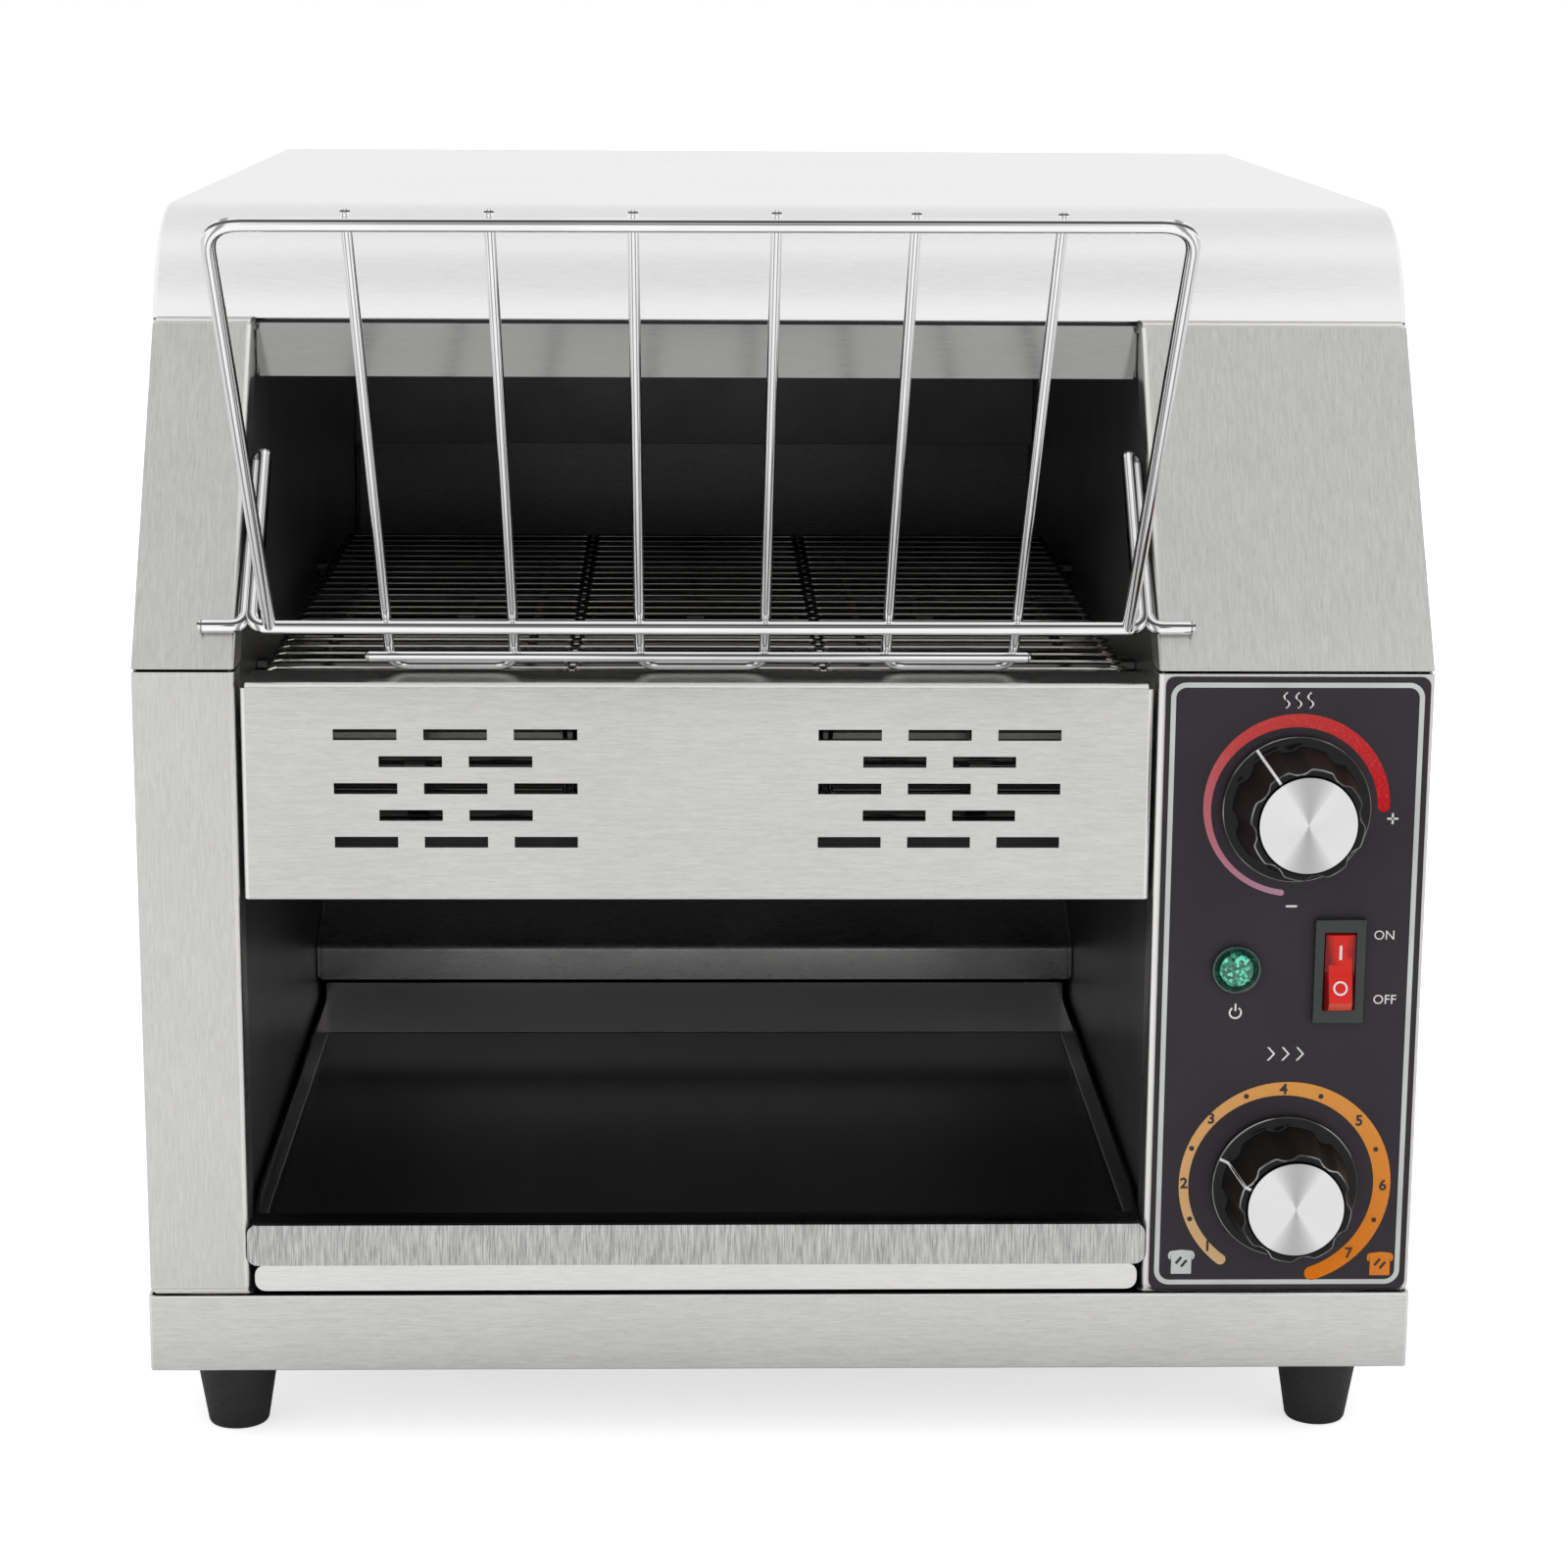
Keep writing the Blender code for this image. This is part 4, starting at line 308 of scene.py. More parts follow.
def moulded_knob(name):
    """Gloss black plastic, duller on the grip, with painted highlights, paler in patches, along its rounded
    edges.
    """
    black = (0.006, 0.006, 0.006)
    made = Shader(name, black, 0.10, Specular_IOR_Level=0.2)
    highlight_patches = made.span(made.noise(70.0, vector=made.place(shift=(0.05, 0, 0.02))), 0.42, 0.62, 0.15, 1.0)
    # Painted highlight: marked rounded edges are paler in patches.
    painted_edge_highlight = made.reckon("MULTIPLY", made.attribute("edge"), highlight_patches)
    made.set(Base_Color=made.blend(painted_edge_highlight, black, (0.40, 0.41, 0.41)),
             Roughness=made.span(made.axes()[1], *GLOSSY_SKIRT, 0.50, 0.10))
    made.bump(made.noise(260.0), 0.03)
    return made.material


def dotted(name, colour):
    """Moulded plastic with a grid of small raised dots, with painted shade on its sides and a painted
    highlight on its lower end.
    """
    made = Shader(name, colour, 0.22, Specular_IOR_Level=0.3)
    x, _, z = made.axes(made.place((DOT_PITCH, 1, DOT_PITCH)))
    wave = made.reckon("MULTIPLY", made.reckon("SINE", x), made.reckon("SINE", z))
    across, _, up = made.facing()
    face = made.blend(made.span(wave, 0.3, 1.0, 0.0, 0.5), colour, (1.0, 0.16, 0.05))
    # Painted highlight: faces turned downwards are paler.
    painted_end_highlight = made.span(made.reckon("MULTIPLY", up, -1.0), 0.25, 0.5)
    face = made.blend(painted_end_highlight, face, (0.80, 0.10, 0.06))
    # Painted shade: faces turned to the sides are dark.
    side = made.span(made.reckon("ABSOLUTE", across), 0.1, 0.3)
    made.set(Base_Color=made.blend(side, face, (0.20, 0.002, 0.002)))
    made.bump(wave, 0.15, 0.00005)
    return made.material


def plated(name):
    """Bright plating on round wire, with painted dark reflections along the upper side and both flanks."""
    made = Shader(name, grey(0.88), 0.04, 1.0)
    across, _, up = made.facing()
    flank = made.reckon("ABSOLUTE", across)
    lines = []
    # Painted reflections: dark lines where the wire's surface faces up and where it faces the flanks.
    for value, middle, half, most in ((up, 0.46, 0.24, 1.0), (flank, 0.31, 0.13, 0.7)):
        off = made.reckon("ABSOLUTE", made.reckon("SUBTRACT", value, middle))
        lines.append(made.span(off, half * 0.5, half, most, 0.0))
    bright = made.blend(made.span(made.noise(45.0), 0.35, 0.65), grey(0.84), grey(0.90))
    made.set(Base_Color=made.blend(made.reckon("MAXIMUM", *lines), bright, grey(0.08)))
    return made.material


def graded(name, first, middle, last):
    """Printed ink that changes colour along the piece's own "along" attribute."""
    made = Shader(name, middle, 0.6, Specular_IOR_Level=0.12)
    ink = made.ramp(made.attribute("along"), ((0.0, first), (0.5, middle), (1.0, last)))
    specks = made.noise(1500.0)
    made.set(Base_Color=made.blend(made.span(specks, 0.5, 0.9, 0.0, 0.10), ink, (0.9, 0.8, 0.7)))
    made.bump(specks, 0.1, 0.00003)
    return made.material


STEEL = (0.585, 0.58, 0.57)
INK_GRAIN = 1500.0

MATERIALS = {
    "steel_x": brushed("steel brushed across", STEEL, 0.30, "X"),
    "steel_y": brushed("steel brushed back to front", STEEL, 0.30, "Y"),
    "steel_z": brushed("steel brushed upright", STEEL, 0.32, "YZ"),
    # The hood's steel is a lighter copy of the body's steel: painted light on its top and front bend.
    "hood_steel_painted_light": brushed("hood steel", (0.855, 0.85, 0.85), 0.30, "X", 0.03, 0.10),
    "steel_header": brushed("header steel", (0.325, 0.325, 0.32), 0.13, "X", 0.05, 0.08),
    "tray_floor": tray_finish("tray steel"),
    "crumb_steel": brushed("crumb tray steel", (0.70, 0.695, 0.68), 0.24, "X", 0.07, 0.15),
    "lining": heated("heated lining", grey(0.13), (0.095, 0.090, 0.086), 0.34, 0.5),
    "chute": scorched("chute steel", (0.35, 0.35, 0.345), (0.26, 0.26, 0.258), 0.100, 0.115),
    "shaft": plain("shaft steel", (0.13, 0.127, 0.122), 0.34, 1.0),
    "belt": heated("belt wire", (0.58, 0.57, 0.56), (0.44, 0.42, 0.40), 0.13, 1.0, darker_back_and_below=True),
    "chrome": plated("rack chrome"),
    "heat_cap": spun("heat knob cap", HEAT_KNOB),
    "speed_cap": spun("speed knob cap", SPEED_KNOB),
    "panel": plain("black panel film", (0.026, 0.020, 0.026), 0.55, scale=1800.0, depth=0.2,
                   Specular_IOR_Level=0.3),
    "black": moulded_knob("knob plastic"),
    "dull_black": plain("dull black plastic", (0.018, 0.018, 0.019), 0.45),
    "bezel": plain("switch bezel plastic", (0.020, 0.027, 0.026), 0.28, scale=900.0),
    "red": dotted("red rocker plastic", (0.74, 0.006, 0.004)),
    "glitter": glitter("green lens"),
    "ring": plain("lamp ring", (0.010, 0.040, 0.032), 0.06, 0.0, 200.0, 0.02, Coat_Weight=1.0),
    "ink": plain("pale ink", (0.62, 0.66, 0.65), 0.45, scale=INK_GRAIN),
    "white_ink": plain("white ink", grey(0.82), 0.40, scale=INK_GRAIN),
    "dark_ink": plain("dark ink", (0.020, 0.015, 0.012), 0.45, scale=INK_GRAIN),
    "orange_ink": plain("orange ink", (0.82, 0.25, 0.03), 0.55, scale=INK_GRAIN, Specular_IOR_Level=0.15),
    "heat_ink": graded("heat scale ink", (0.64, 0.008, 0.014), (0.64, 0.070, 0.065), (0.56, 0.30, 0.42)),
    "speed_ink": graded("speed scale ink", (0.74, 0.50, 0.26), (0.82, 0.36, 0.08), (0.86, 0.21, 0.0)),
    "motor": plain("motor paint", grey(0.10), 0.5),
    "ceramic": plain("ceramic", (0.80, 0.78, 0.72), 0.6),
    "quartz": plain("quartz tube", (0.78, 0.75, 0.68), 0.15),
    "brass": plain("brass", (0.70, 0.52, 0.25), 0.3, 1.0),
    "zinc": plain("zinc plated screw", (0.66, 0.66, 0.64), 0.25, 1.0, 900.0),
    "rubber": plain("rubber", grey(0.014), 0.62, scale=700.0, depth=0.3),
}

NODE_FINISHES = {
    "steel_x": "heater_bracket_left heater_bracket_right back_panel",
    "steel_y": "left_side_panel right_side_panel",
    "lining": "cavity_left_wall cavity_right_wall rear_heat_shield tray_rail_left tray_rail_right "
              "lower_reflector upper_reflector",
    "shaft": "drive_shaft idler_shaft belt_support",
    "dull_black": "heat_control speed_control fan_frame fan_rotor",
    "motor": "gear_motor",
    "ceramic": "terminal_block",
    "quartz": "upper_heater_1 upper_heater_2 upper_heater_3 lower_heater_1 lower_heater_2",
    "brass": "shaft_coupling bearing_front_left bearing_front_right bearing_rear_left bearing_rear_right "
             "heat_spindle speed_spindle",
}


def finish_nodes():
    """Gives the nodes that stay as they are their finishes."""
    for finish, names in NODE_FINISHES.items():
        for name in names.split():
            for slot in NODES[name].material_slots:
                slot.material = MATERIALS[finish]


# Making pieces

def new_object(name, data):
    made = bpy.data.objects.new(name, data)
    bpy.context.scene.collection.objects.link(made)
    return made


def settled(obj):
    """The object's modifiers, curves or text made real, in a plain mesh object of the same name."""
    graph = bpy.context.evaluated_depsgraph_get()
    mesh = bpy.data.meshes.new_from_object(obj.evaluated_get(graph))
    name = obj.name
    bpy.data.objects.remove(obj)
    return new_object(name, mesh)


def fit(piece, finish, slot, body, *nodes):
    """Gives a finished piece its material and its body, in place of the nodes that it stands for."""
    piece.data.materials.clear()
    piece.data.materials.append(MATERIALS[finish])
    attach(piece, body)
    if nodes:
        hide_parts(*nodes)


def mesh_object(name, made, smooth=True, outward=True):
    """A bmesh as an object, doubles merged and faces turned outwards."""
    bmesh.ops.remove_doubles(made, verts=made.verts, dist=1e-7)
    if outward:
        bmesh.ops.recalc_face_normals(made, faces=made.faces)
    for face in made.faces:
        face.smooth = smooth
    mesh = bpy.data.meshes.new(name)
    made.to_mesh(mesh)
    made.free()
    return new_object(name, mesh)


def skin(made, rows, closed=False, ends=False):
    """Faces between rows of vertices; closed joins each row round, ends caps the first and last row."""
    for low, high in zip(rows, rows[1:]):
        for index in range(len(low) if closed else len(low) - 1):
            after = (index + 1) % len(low)
            made.faces.new((low[index], low[after], high[after], high[index]))
    if ends:
        made.faces.new(rows[0])
        made.faces.new(rows[-1][::-1])


def grid(name, rows, closed=False, ends=False):
    """A skin through rows of points, as an object."""
    made = bmesh.new()
    skin(made, [[made.verts.new(point) for point in row] for row in rows], closed, ends)
    return mesh_object(name, made)


def bevel(obj, width, segments=3):
    """Rounds an object's sharp edges."""
    step = obj.modifiers.new("rounding", "BEVEL")
    step.width = width
    step.segments = segments
    step.harden_normals = True
    step.limit_method = "ANGLE"
    step.angle_limit = math.radians(40)


def thicken(obj):
    """Gives a skin the sheet's thickness on its inner side."""
    wall = obj.modifiers.new("wall", "SOLIDIFY")
    wall.thickness = SHEET
    wall.offset = -1.0


def on_circle(x, z, radius, angle):
    """A point of a circle, its angle in degrees anticlockwise from the right."""
    turn = math.radians(angle)
    return x + radius * math.cos(turn), z + radius * math.sin(turn)


# Folded sheets, from the nodes with their edges rounded

FOLD = 0.0018
FOLD_REACH = 0.003
INNER_SHARE = 0.35
SHARP = math.radians(30)
FLAT = math.radians(0.6)
FOLD_STEPS = 6
BROAD_FACE = 2e-5
KINK_SEAM = 0.003
RIM = 0.00015
OVERLAY_RIM = 0.0001
HEADER_FOLD = 0.0009
SAME_PLACE = 1e-6


def reach(edge, face):
    """How far a face runs from one of its edges."""
    start = edge.verts[0].co
    way = (edge.verts[1].co - start).normalized()
    return max(((vert.co - start) - way * (vert.co - start).dot(way)).length for vert in face.verts)


def round_folds(made, width, convex):
    """Rounds the long bends of a sheet on their outer or their inner side, and marks the outer ones for a
    painted highlight.
    """
    painted_highlight_layer = made.verts.layers.float.get("fold") or made.verts.layers.float.new("fold")
    folds = []
    for edge in made.edges:
        if len(edge.link_faces) != 2 or edge.calc_face_angle(0) < SHARP or edge.is_convex != convex:
            continue
        at_kink = max(abs(vert.co.z - KINK_HEIGHT) for vert in edge.verts) < KINK_SEAM
        if not at_kink and min(reach(edge, face) for face in edge.link_faces) > FOLD_REACH:
            folds.append(edge)
    if not folds:
        return
    rounded = bmesh.ops.bevel(made, geom=folds, offset=width, offset_type="OFFSET", segments=FOLD_STEPS,
                              profile=0.5, affect="EDGES", clamp_overlap=False)
    bent = set(rounded["faces"])
    for vert in rounded["verts"]:
        wide = [face for face in vert.link_faces if face not in bent and face.calc_area() > BROAD_FACE]
        # Vertices of outer folds are marked for the painted highlight.
        if convex and not wide:
            vert[painted_highlight_layer] = 1.0


def sheet(node, finish, slot="steel", body="chassis", fold=FOLD, rim=RIM):
    """A node's shape with round folds and slightly broken edges."""
    made = bmesh.new()
    made.from_mesh(NODES[node].data)
    bmesh.ops.remove_doubles(made, verts=made.verts, dist=SAME_PLACE)
    bmesh.ops.dissolve_limit(made, angle_limit=FLAT, verts=made.verts, edges=made.edges)
    round_folds(made, fold, True)
    round_folds(made, fold * INNER_SHARE, False)
    bmesh.ops.remove_doubles(made, verts=made.verts, dist=SAME_PLACE)
    for part in (*made.edges, *made.faces):
        part.smooth = True
    mesh = bpy.data.meshes.new(node + "_formed")
    made.to_mesh(mesh)
    made.free()
    for name in ("custom_normal", "sharp_edge", "sharp_face"):
        if name in mesh.attributes:
            mesh.attributes.remove(mesh.attributes[name])
    piece = new_object(node + "_formed", mesh)
    bevel(piece, rim, 2)
    fit(settled(piece), finish, slot, body, node)


def sheets():
    """The body's plain sheets and both trays."""
    for node in ("left_post_lower", "left_post_upper", "control_fascia", "right_upper_fascia"):
        sheet(node, "steel_z")
    sheet("base_pan", "steel_x", fold=SHEET)
    sheet("header_strip", "steel_header", fold=HEADER_FOLD)
    sheet("discharge_chute", "chute", slot="bright_steel")
    sheet("toast_tray", "tray_floor", "tray_steel", "tray", fold=SHEET)
    sheet("crumb_tray", "crumb_steel", "tray_steel", "crumbs", fold=SHEET)
    sheet("control_overlay", "panel", "black_panel", rim=OVERLAY_RIM)


# Hood

HOOD_FOLD = 0.0016
HOOD_FOLD_STEPS = 6
HOOD_BEND_STEPS = 36
HOOD_ROWS = (BEND_Y, 0.04, 0.15, 0.22, BACK)
HOOD_RIM = 0.0002
HEM_RIM = 0.0003
HEM_INSET = 0.003
HEM_CLIP = 0.001
# As (degrees back from the lip, depth under the hood's skin).
HEM_PROFILE = ((0, 0.0010), (0, 0.0022), (0.6, 0.0024), (6, 0.0024), (6, 0.0010))
# Left end, right end, y, z and radius of each run of the black strip that stands in for the shadow under
# the lip.
SHADOW_STRIP_RUNS = ((-0.1546, 0.1051, -0.10665, 0.32430, 0.00062),
             (-0.1838, -0.1553, -0.11125, 0.32500, 0.00040),
             (0.1058, 0.1838, -0.11125, 0.32500, 0.00040))


def hood_point(x, depth, angle=None, y=None):
    """A point this deep under the hood's outer skin, on its bend or on its flat top."""
    if angle is None:
        return Vector((x, y, BODY_TOP - depth))
    return Vector((x, *on_circle(BEND_Y, BEND_Z, BEND_RADIUS - depth, angle)))


def hood():
    """The top cover: a flat top, its bend to the front and both sides folded down."""
    section = [(-HALF_HOOD, HOOD_SIDE_DEPTH), (-HALF_HOOD, HOOD_SIDE_DEPTH / 2)]
    for step in range(HOOD_FOLD_STEPS + 1):
        x, rise = on_circle(HOOD_FOLD - HALF_HOOD, 0, HOOD_FOLD, 180 - 90 * step / HOOD_FOLD_STEPS)
        section.append((x, HOOD_FOLD - rise))
    section += [(HALF_HOOD * share, 0) for share in (-0.6, -0.2)]
    section += [(-x, depth) for x, depth in section[::-1]]
    rows = []
    for step in range(HOOD_BEND_STEPS):
        angle = 90 + BEND_ANGLE - BEND_ANGLE * step / HOOD_BEND_STEPS
        rows.append([hood_point(x, depth, angle) for x, depth in section])
    for y in HOOD_ROWS:
        rows.append([hood_point(x, depth, y=y) for x, depth in section])
    made = grid("hood_skin", rows)
    if made.data.polygons[0].normal.x > 0:
        made.data.flip_normals()
    thicken(made)
    bevel(made, HOOD_RIM)
    fit(settled(made), "hood_steel_painted_light", "steel", "chassis", "hood")
    hem()


def hem():
    """The lip folded back under itself across the mouth, with a clipped corner at each end."""
    low, high = MOUTH_CENTRE - HALF_MOUTH + HEM_INSET, MOUTH_CENTRE + HALF_MOUTH - HEM_INSET
    rings = []
    for x in (low, low + HEM_CLIP, high - HEM_CLIP, high):
        rings.append([hood_point(x, depth, 90 + BEND_ANGLE - back) for back, depth in HEM_PROFILE])
    made = grid("hood_hem", rings, closed=True, ends=True)
    bevel(made, HEM_RIM)
    fit(settled(made), "hood_steel_painted_light", "steel", "chassis")


def hood_seal():
    """Black strips under the hood's lip as a painted shadow: a bead across the mouth, thinner along the
    posts.
    """
    routes = []
    for left, right, y, z, radius in SHADOW_STRIP_RUNS:
        line = [Vector((left + (right - left) * step / 4, y, z)) for step in range(5)]
        routes.append(domed(line, radius))
    fit(tubes("hood_seal", routes, 3), "rubber", "rubber", "chassis")


# Front cover

COVER_WIDTH = 0.2583
COVER_BOTTOM = 0.1665
COVER_TOP = 0.2293
COVER_FLANGE = 0.0125
COVER_FOLD = 0.0016
COVER_TOP_FLANGE = 0.0190
COVER_RIM = 0.0001
SLOT = (0.0179, 0.0031)
SLOT_PITCH = 0.0255
SLOT_ROW_PITCH = 0.0078
SLOT_ROWS = (3, 2, 3, 2, 3)
SLOT_GROUP = 0.0686
SLOT_TOP = 0.2144


def cover_slots():
    """Every slot as (left, bottom, right, top)."""
    slots = []
    for row, count in enumerate(SLOT_ROWS):
        z = SLOT_TOP - row * SLOT_ROW_PITCH
        for group in (-SLOT_GROUP, SLOT_GROUP):
            for index in range(count):
                x = MOUTH_CENTRE + group + (index - (count - 1) / 2) * SLOT_PITCH
                slots.append((x - SLOT[0] / 2, z - SLOT[1] / 2, x + SLOT[0] / 2, z + SLOT[1] / 2))
    return slots


def front_cover():
    """A slotted face folded back at the top and at both sides."""
    left, right = MOUTH_CENTRE - COVER_WIDTH / 2, MOUTH_CENTRE + COVER_WIDTH / 2
    slots = cover_slots()
    fold = COVER_FOLD
    bend = [on_circle(fold, fold, -fold, 15 * step) for step in range(1, 6)]
    side = [(left, FRONT + COVER_FLANGE), (left, FRONT + fold)] + [(left + x, FRONT + y) for x, y in bend]
    edges_x = {round(edge, 6) for slot in slots for edge in slot[::2]}
    edges_z = {round(edge, 6) for slot in slots for edge in slot[1::2]}
    face_x = sorted(edges_x | {left + fold, right - fold})
    across = side + [(x, FRONT) for x in face_x] + [(left + right - x, y) for x, y in side[::-1]]
    made = bmesh.new()
    painted_highlight_layer = made.verts.layers.float.new("fold")
    heights = sorted(edges_z | {COVER_BOTTOM, COVER_TOP - fold})
    rows = [[made.verts.new((x, y, z)) for x, y in across] for z in heights]
    # Vertices round the side folds are marked for the painted fold highlight.
    for row in rows:
        for vert in row[2:len(side)] + row[-len(side):-2]:
            vert[painted_highlight_layer] = 1.0
    for low, high in zip(rows, rows[1:]):
        for index in range(len(across) - 1):
            middle = (low[index].co + high[index + 1].co) / 2
            if not any(slot[0] < middle.x < slot[2] and slot[1] < middle.z < slot[3] for slot in slots):
                made.faces.new((low[index], low[index + 1], high[index + 1], high[index]))
    levels = [rows[-1][len(side):len(side) + len(face_x)]]
    top = [(FRONT + x, COVER_TOP - z) for x, z in bend]
    for y, z in top + [(FRONT + fold, COVER_TOP), (FRONT + COVER_TOP_FLANGE, COVER_TOP)]:
        levels.append([made.verts.new((vert.co.x, y, z)) for vert in levels[0]])
        # Only the vertices round the top fold are marked for the painted fold highlight.
        for vert in levels[-1]:
            vert[painted_highlight_layer] = 1.0 if y < FRONT + fold else 0.0
    skin(made, levels)
    piece = mesh_object("cover_sheet", made, outward=False)
    thicken(piece)
    bevel(piece, COVER_RIM, 2)
    fit(settled(piece), "steel_x", "steel", "chassis", "front_cover")


# Wire work

DOME = (0.02, 0.15, 0.5, 1)


def rounded_path(corners, radius, steps=6):
    """A wire's path through its corners, each one rounded as far as its legs allow."""
    corners = [Vector(corner) for corner in corners]
    route = [corners[0]]
    for before, corner, after in zip(corners, corners[1:], corners[2:]):
        near = min(radius, (before - corner).length / 2, (after - corner).length / 2)
        enter = corner + (before - corner).normalized() * near
        leave = corner + (after - corner).normalized() * near
        for step in range(steps + 1):
            share = step / steps
            route.append(enter.lerp(corner, share).lerp(corner.lerp(leave, share), share))
    return route + [corners[-1]]


def domed(route, radius):
    """A path with the wire's radius at each point, both ends drawn in to a small dome."""
    ends = []
    for tip, inner in ((route[0], route[1]), (route[-1], route[-2])):
        way = (inner - tip).normalized() * radius
        ends.append([(tip + way * share, radius * math.sqrt(1 - (1 - share) ** 2)) for share in DOME])
    return ends[0] + [(point, radius) for point in route[1:-1]] + ends[1][::-1]


def tubes(name, routes, resolution=4):
    """Round wires along paths of points and radii, as one mesh object."""
    curve = bpy.data.curves.new(name, "CURVE")
    curve.dimensions = "3D"
    curve.bevel_depth = 1.0
    curve.bevel_resolution = resolution
    curve.use_fill_caps = True
    for route in routes:
        spline = curve.splines.new("POLY")
        spline.points.add(len(route) - 1)
        for point, (place, radius) in zip(spline.points, route):
            point.co = (*place, 1)
            point.radius = radius
        spline.use_smooth = True
    return settled(new_object(name, curve))


# Feed rack

RACK_FRAME_WIRE = 0.00195
RACK_BAR_WIRE = 0.002
RACK_ROD_WIRE = 0.00155
RACK_LONG_WIRE = 0.0015
RACK_FRAME_CORNER = 0.009
RACK_BAR_CORNER = 0.004
RACK_LONG_CORNER = 0.0055
RACK_FRAME = ((-0.145, -0.174128, 0.244978), (-0.147, -0.27535, 0.3638),
              (0.0986, -0.27535, 0.3645), (0.0966, -0.174128, 0.244978))
# The bottom bar with its hairpin leg and stub, as (distance from the middle, y, z).
RACK_BAR_HALF = ((0.125, -0.174128, 0.244978), (0.125, -0.131091, 0.288540), (0.1278, -0.128928, 0.286403),
                 (0.1278, -0.170328, 0.244499), (0.1413, -0.170328, 0.244499))
RACK_LONG_TOP = (-0.275900, 0.367600)
RACK_LONG_END = (-0.158500, 0.231300)
RACK_LONG_PAIRS = ((-0.112499, -0.077001), (-0.041401, -0.005801), (0.0289, 0.065401))
RACK_ROD = (-0.165000, 0.235000)
RACK_ROD_STATIONS = (-0.119494, 0, 0.070489)


def rack():
    """The chromed feed rack: a bent frame, a bottom bar with its legs, a rod and three long hairpins."""
    routes = [[(point, RACK_FRAME_WIRE) for point in rounded_path(RACK_FRAME, RACK_FRAME_CORNER, 8)]]
    bar = [(MOUTH_CENTRE - out, y, z) for out, y, z in RACK_BAR_HALF[::-1]]
    bar += [(MOUTH_CENTRE + out, y, z) for out, y, z in RACK_BAR_HALF]
    routes.append(domed(rounded_path(bar, RACK_BAR_CORNER), RACK_BAR_WIRE))
    for pair in RACK_LONG_PAIRS:
        corners = [(x, *RACK_LONG_TOP) for x in pair]
        corners[1:1] = [(x, *RACK_LONG_END) for x in pair]
        routes.append(domed(rounded_path(corners, RACK_LONG_CORNER), RACK_LONG_WIRE))
    routes.append(domed([Vector((x, *RACK_ROD)) for x in RACK_ROD_STATIONS], RACK_ROD_WIRE))
    fit(tubes("rack_wires", routes), "chrome", "rack_chrome", "rack", "feed_rack")


# Belt

PITCH = 0.0115
RUN_PITCHES = 22
TEETH = 12
PITCH_RADIUS = TEETH * PITCH / (2 * math.pi)
SHAFT_HEIGHT = 0.206037
FRONT_SHAFT = -0.146625
BACK_SHAFT = 0.106375
BELT_WIDTH = 0.250
BELT_WIRE = 0.00145
BELT_CORNER = 0.0022
HOOK_ROOT = 0.0018
HOOK_TIP = 0.0036
HOOK_REACH = 0.0011
HOOK_DIP = 0.0015
EDGE_BOW = 0.0015
EDGE_HOOK = 0.0034
EDGE_LEG = 0.0089
JOINT = 0.0365


def repeat(name, shape, places):
    """Copies of one shape at many places, made by a node tree and then made real as one mesh object."""
    tree = bpy.data.node_groups.new(name, "GeometryNodeTree")
    for way in ("INPUT", "OUTPUT"):
        tree.interface.new_socket("Geometry", in_out=way, socket_type="NodeSocketGeometry")
    nodes = Nodes(tree)
    turn = nodes.node("GeometryNodeInputNamedAttribute", {"Name": "turn"}, data_type="FLOAT_VECTOR")
    parts = {
        "Points": nodes.node("NodeGroupInput").outputs["Geometry"],
        "Instance": nodes.node("GeometryNodeObjectInfo", {"Object": shape}).outputs["Geometry"],
        "Rotation": nodes.node("FunctionNodeEulerToRotation", {0: turn.outputs["Attribute"]}).outputs[0],
    }
    copies = nodes.node("GeometryNodeInstanceOnPoints", parts).outputs[0]
    real = nodes.node("GeometryNodeRealizeInstances", {"Geometry": copies}).outputs[0]
    nodes.node("NodeGroupOutput", {"Geometry": real})
    points = bpy.data.meshes.new(name)
    points.from_pydata([place.translation for place in places], [], [])
    turns = points.attributes.new("turn", "FLOAT_VECTOR", "POINT")
    for item, place in zip(turns.data, places):
        item.vector = place.to_euler()
    made = new_object(name, points)
    made.modifiers.new("copies", "NODES").node_group = tree
    made = settled(made)
    bpy.data.objects.remove(shape)
    return made


def loop_place(index):
    """A point of the belt's pitch line as (y, z), counted in pitches from the front of its upper run."""
    run = RUN_PITCHES * PITCH
    bend = math.pi * PITCH_RADIUS
    distance = index * PITCH % (2 * (run + bend))
    if distance < run:
        return FRONT_SHAFT + distance, SHAFT_HEIGHT + PITCH_RADIUS
    if distance < run + bend:
        angle = (distance - run) / PITCH_RADIUS
        return BACK_SHAFT + PITCH_RADIUS * math.sin(angle), SHAFT_HEIGHT + PITCH_RADIUS * math.cos(angle)
    if distance < 2 * run + bend:
        return BACK_SHAFT - (distance - run - bend), SHAFT_HEIGHT - PITCH_RADIUS
    angle = (distance - 2 * run - bend) / PITCH_RADIUS
    return FRONT_SHAFT - PITCH_RADIUS * math.sin(angle), SHAFT_HEIGHT - PITCH_RADIUS * math.cos(angle)


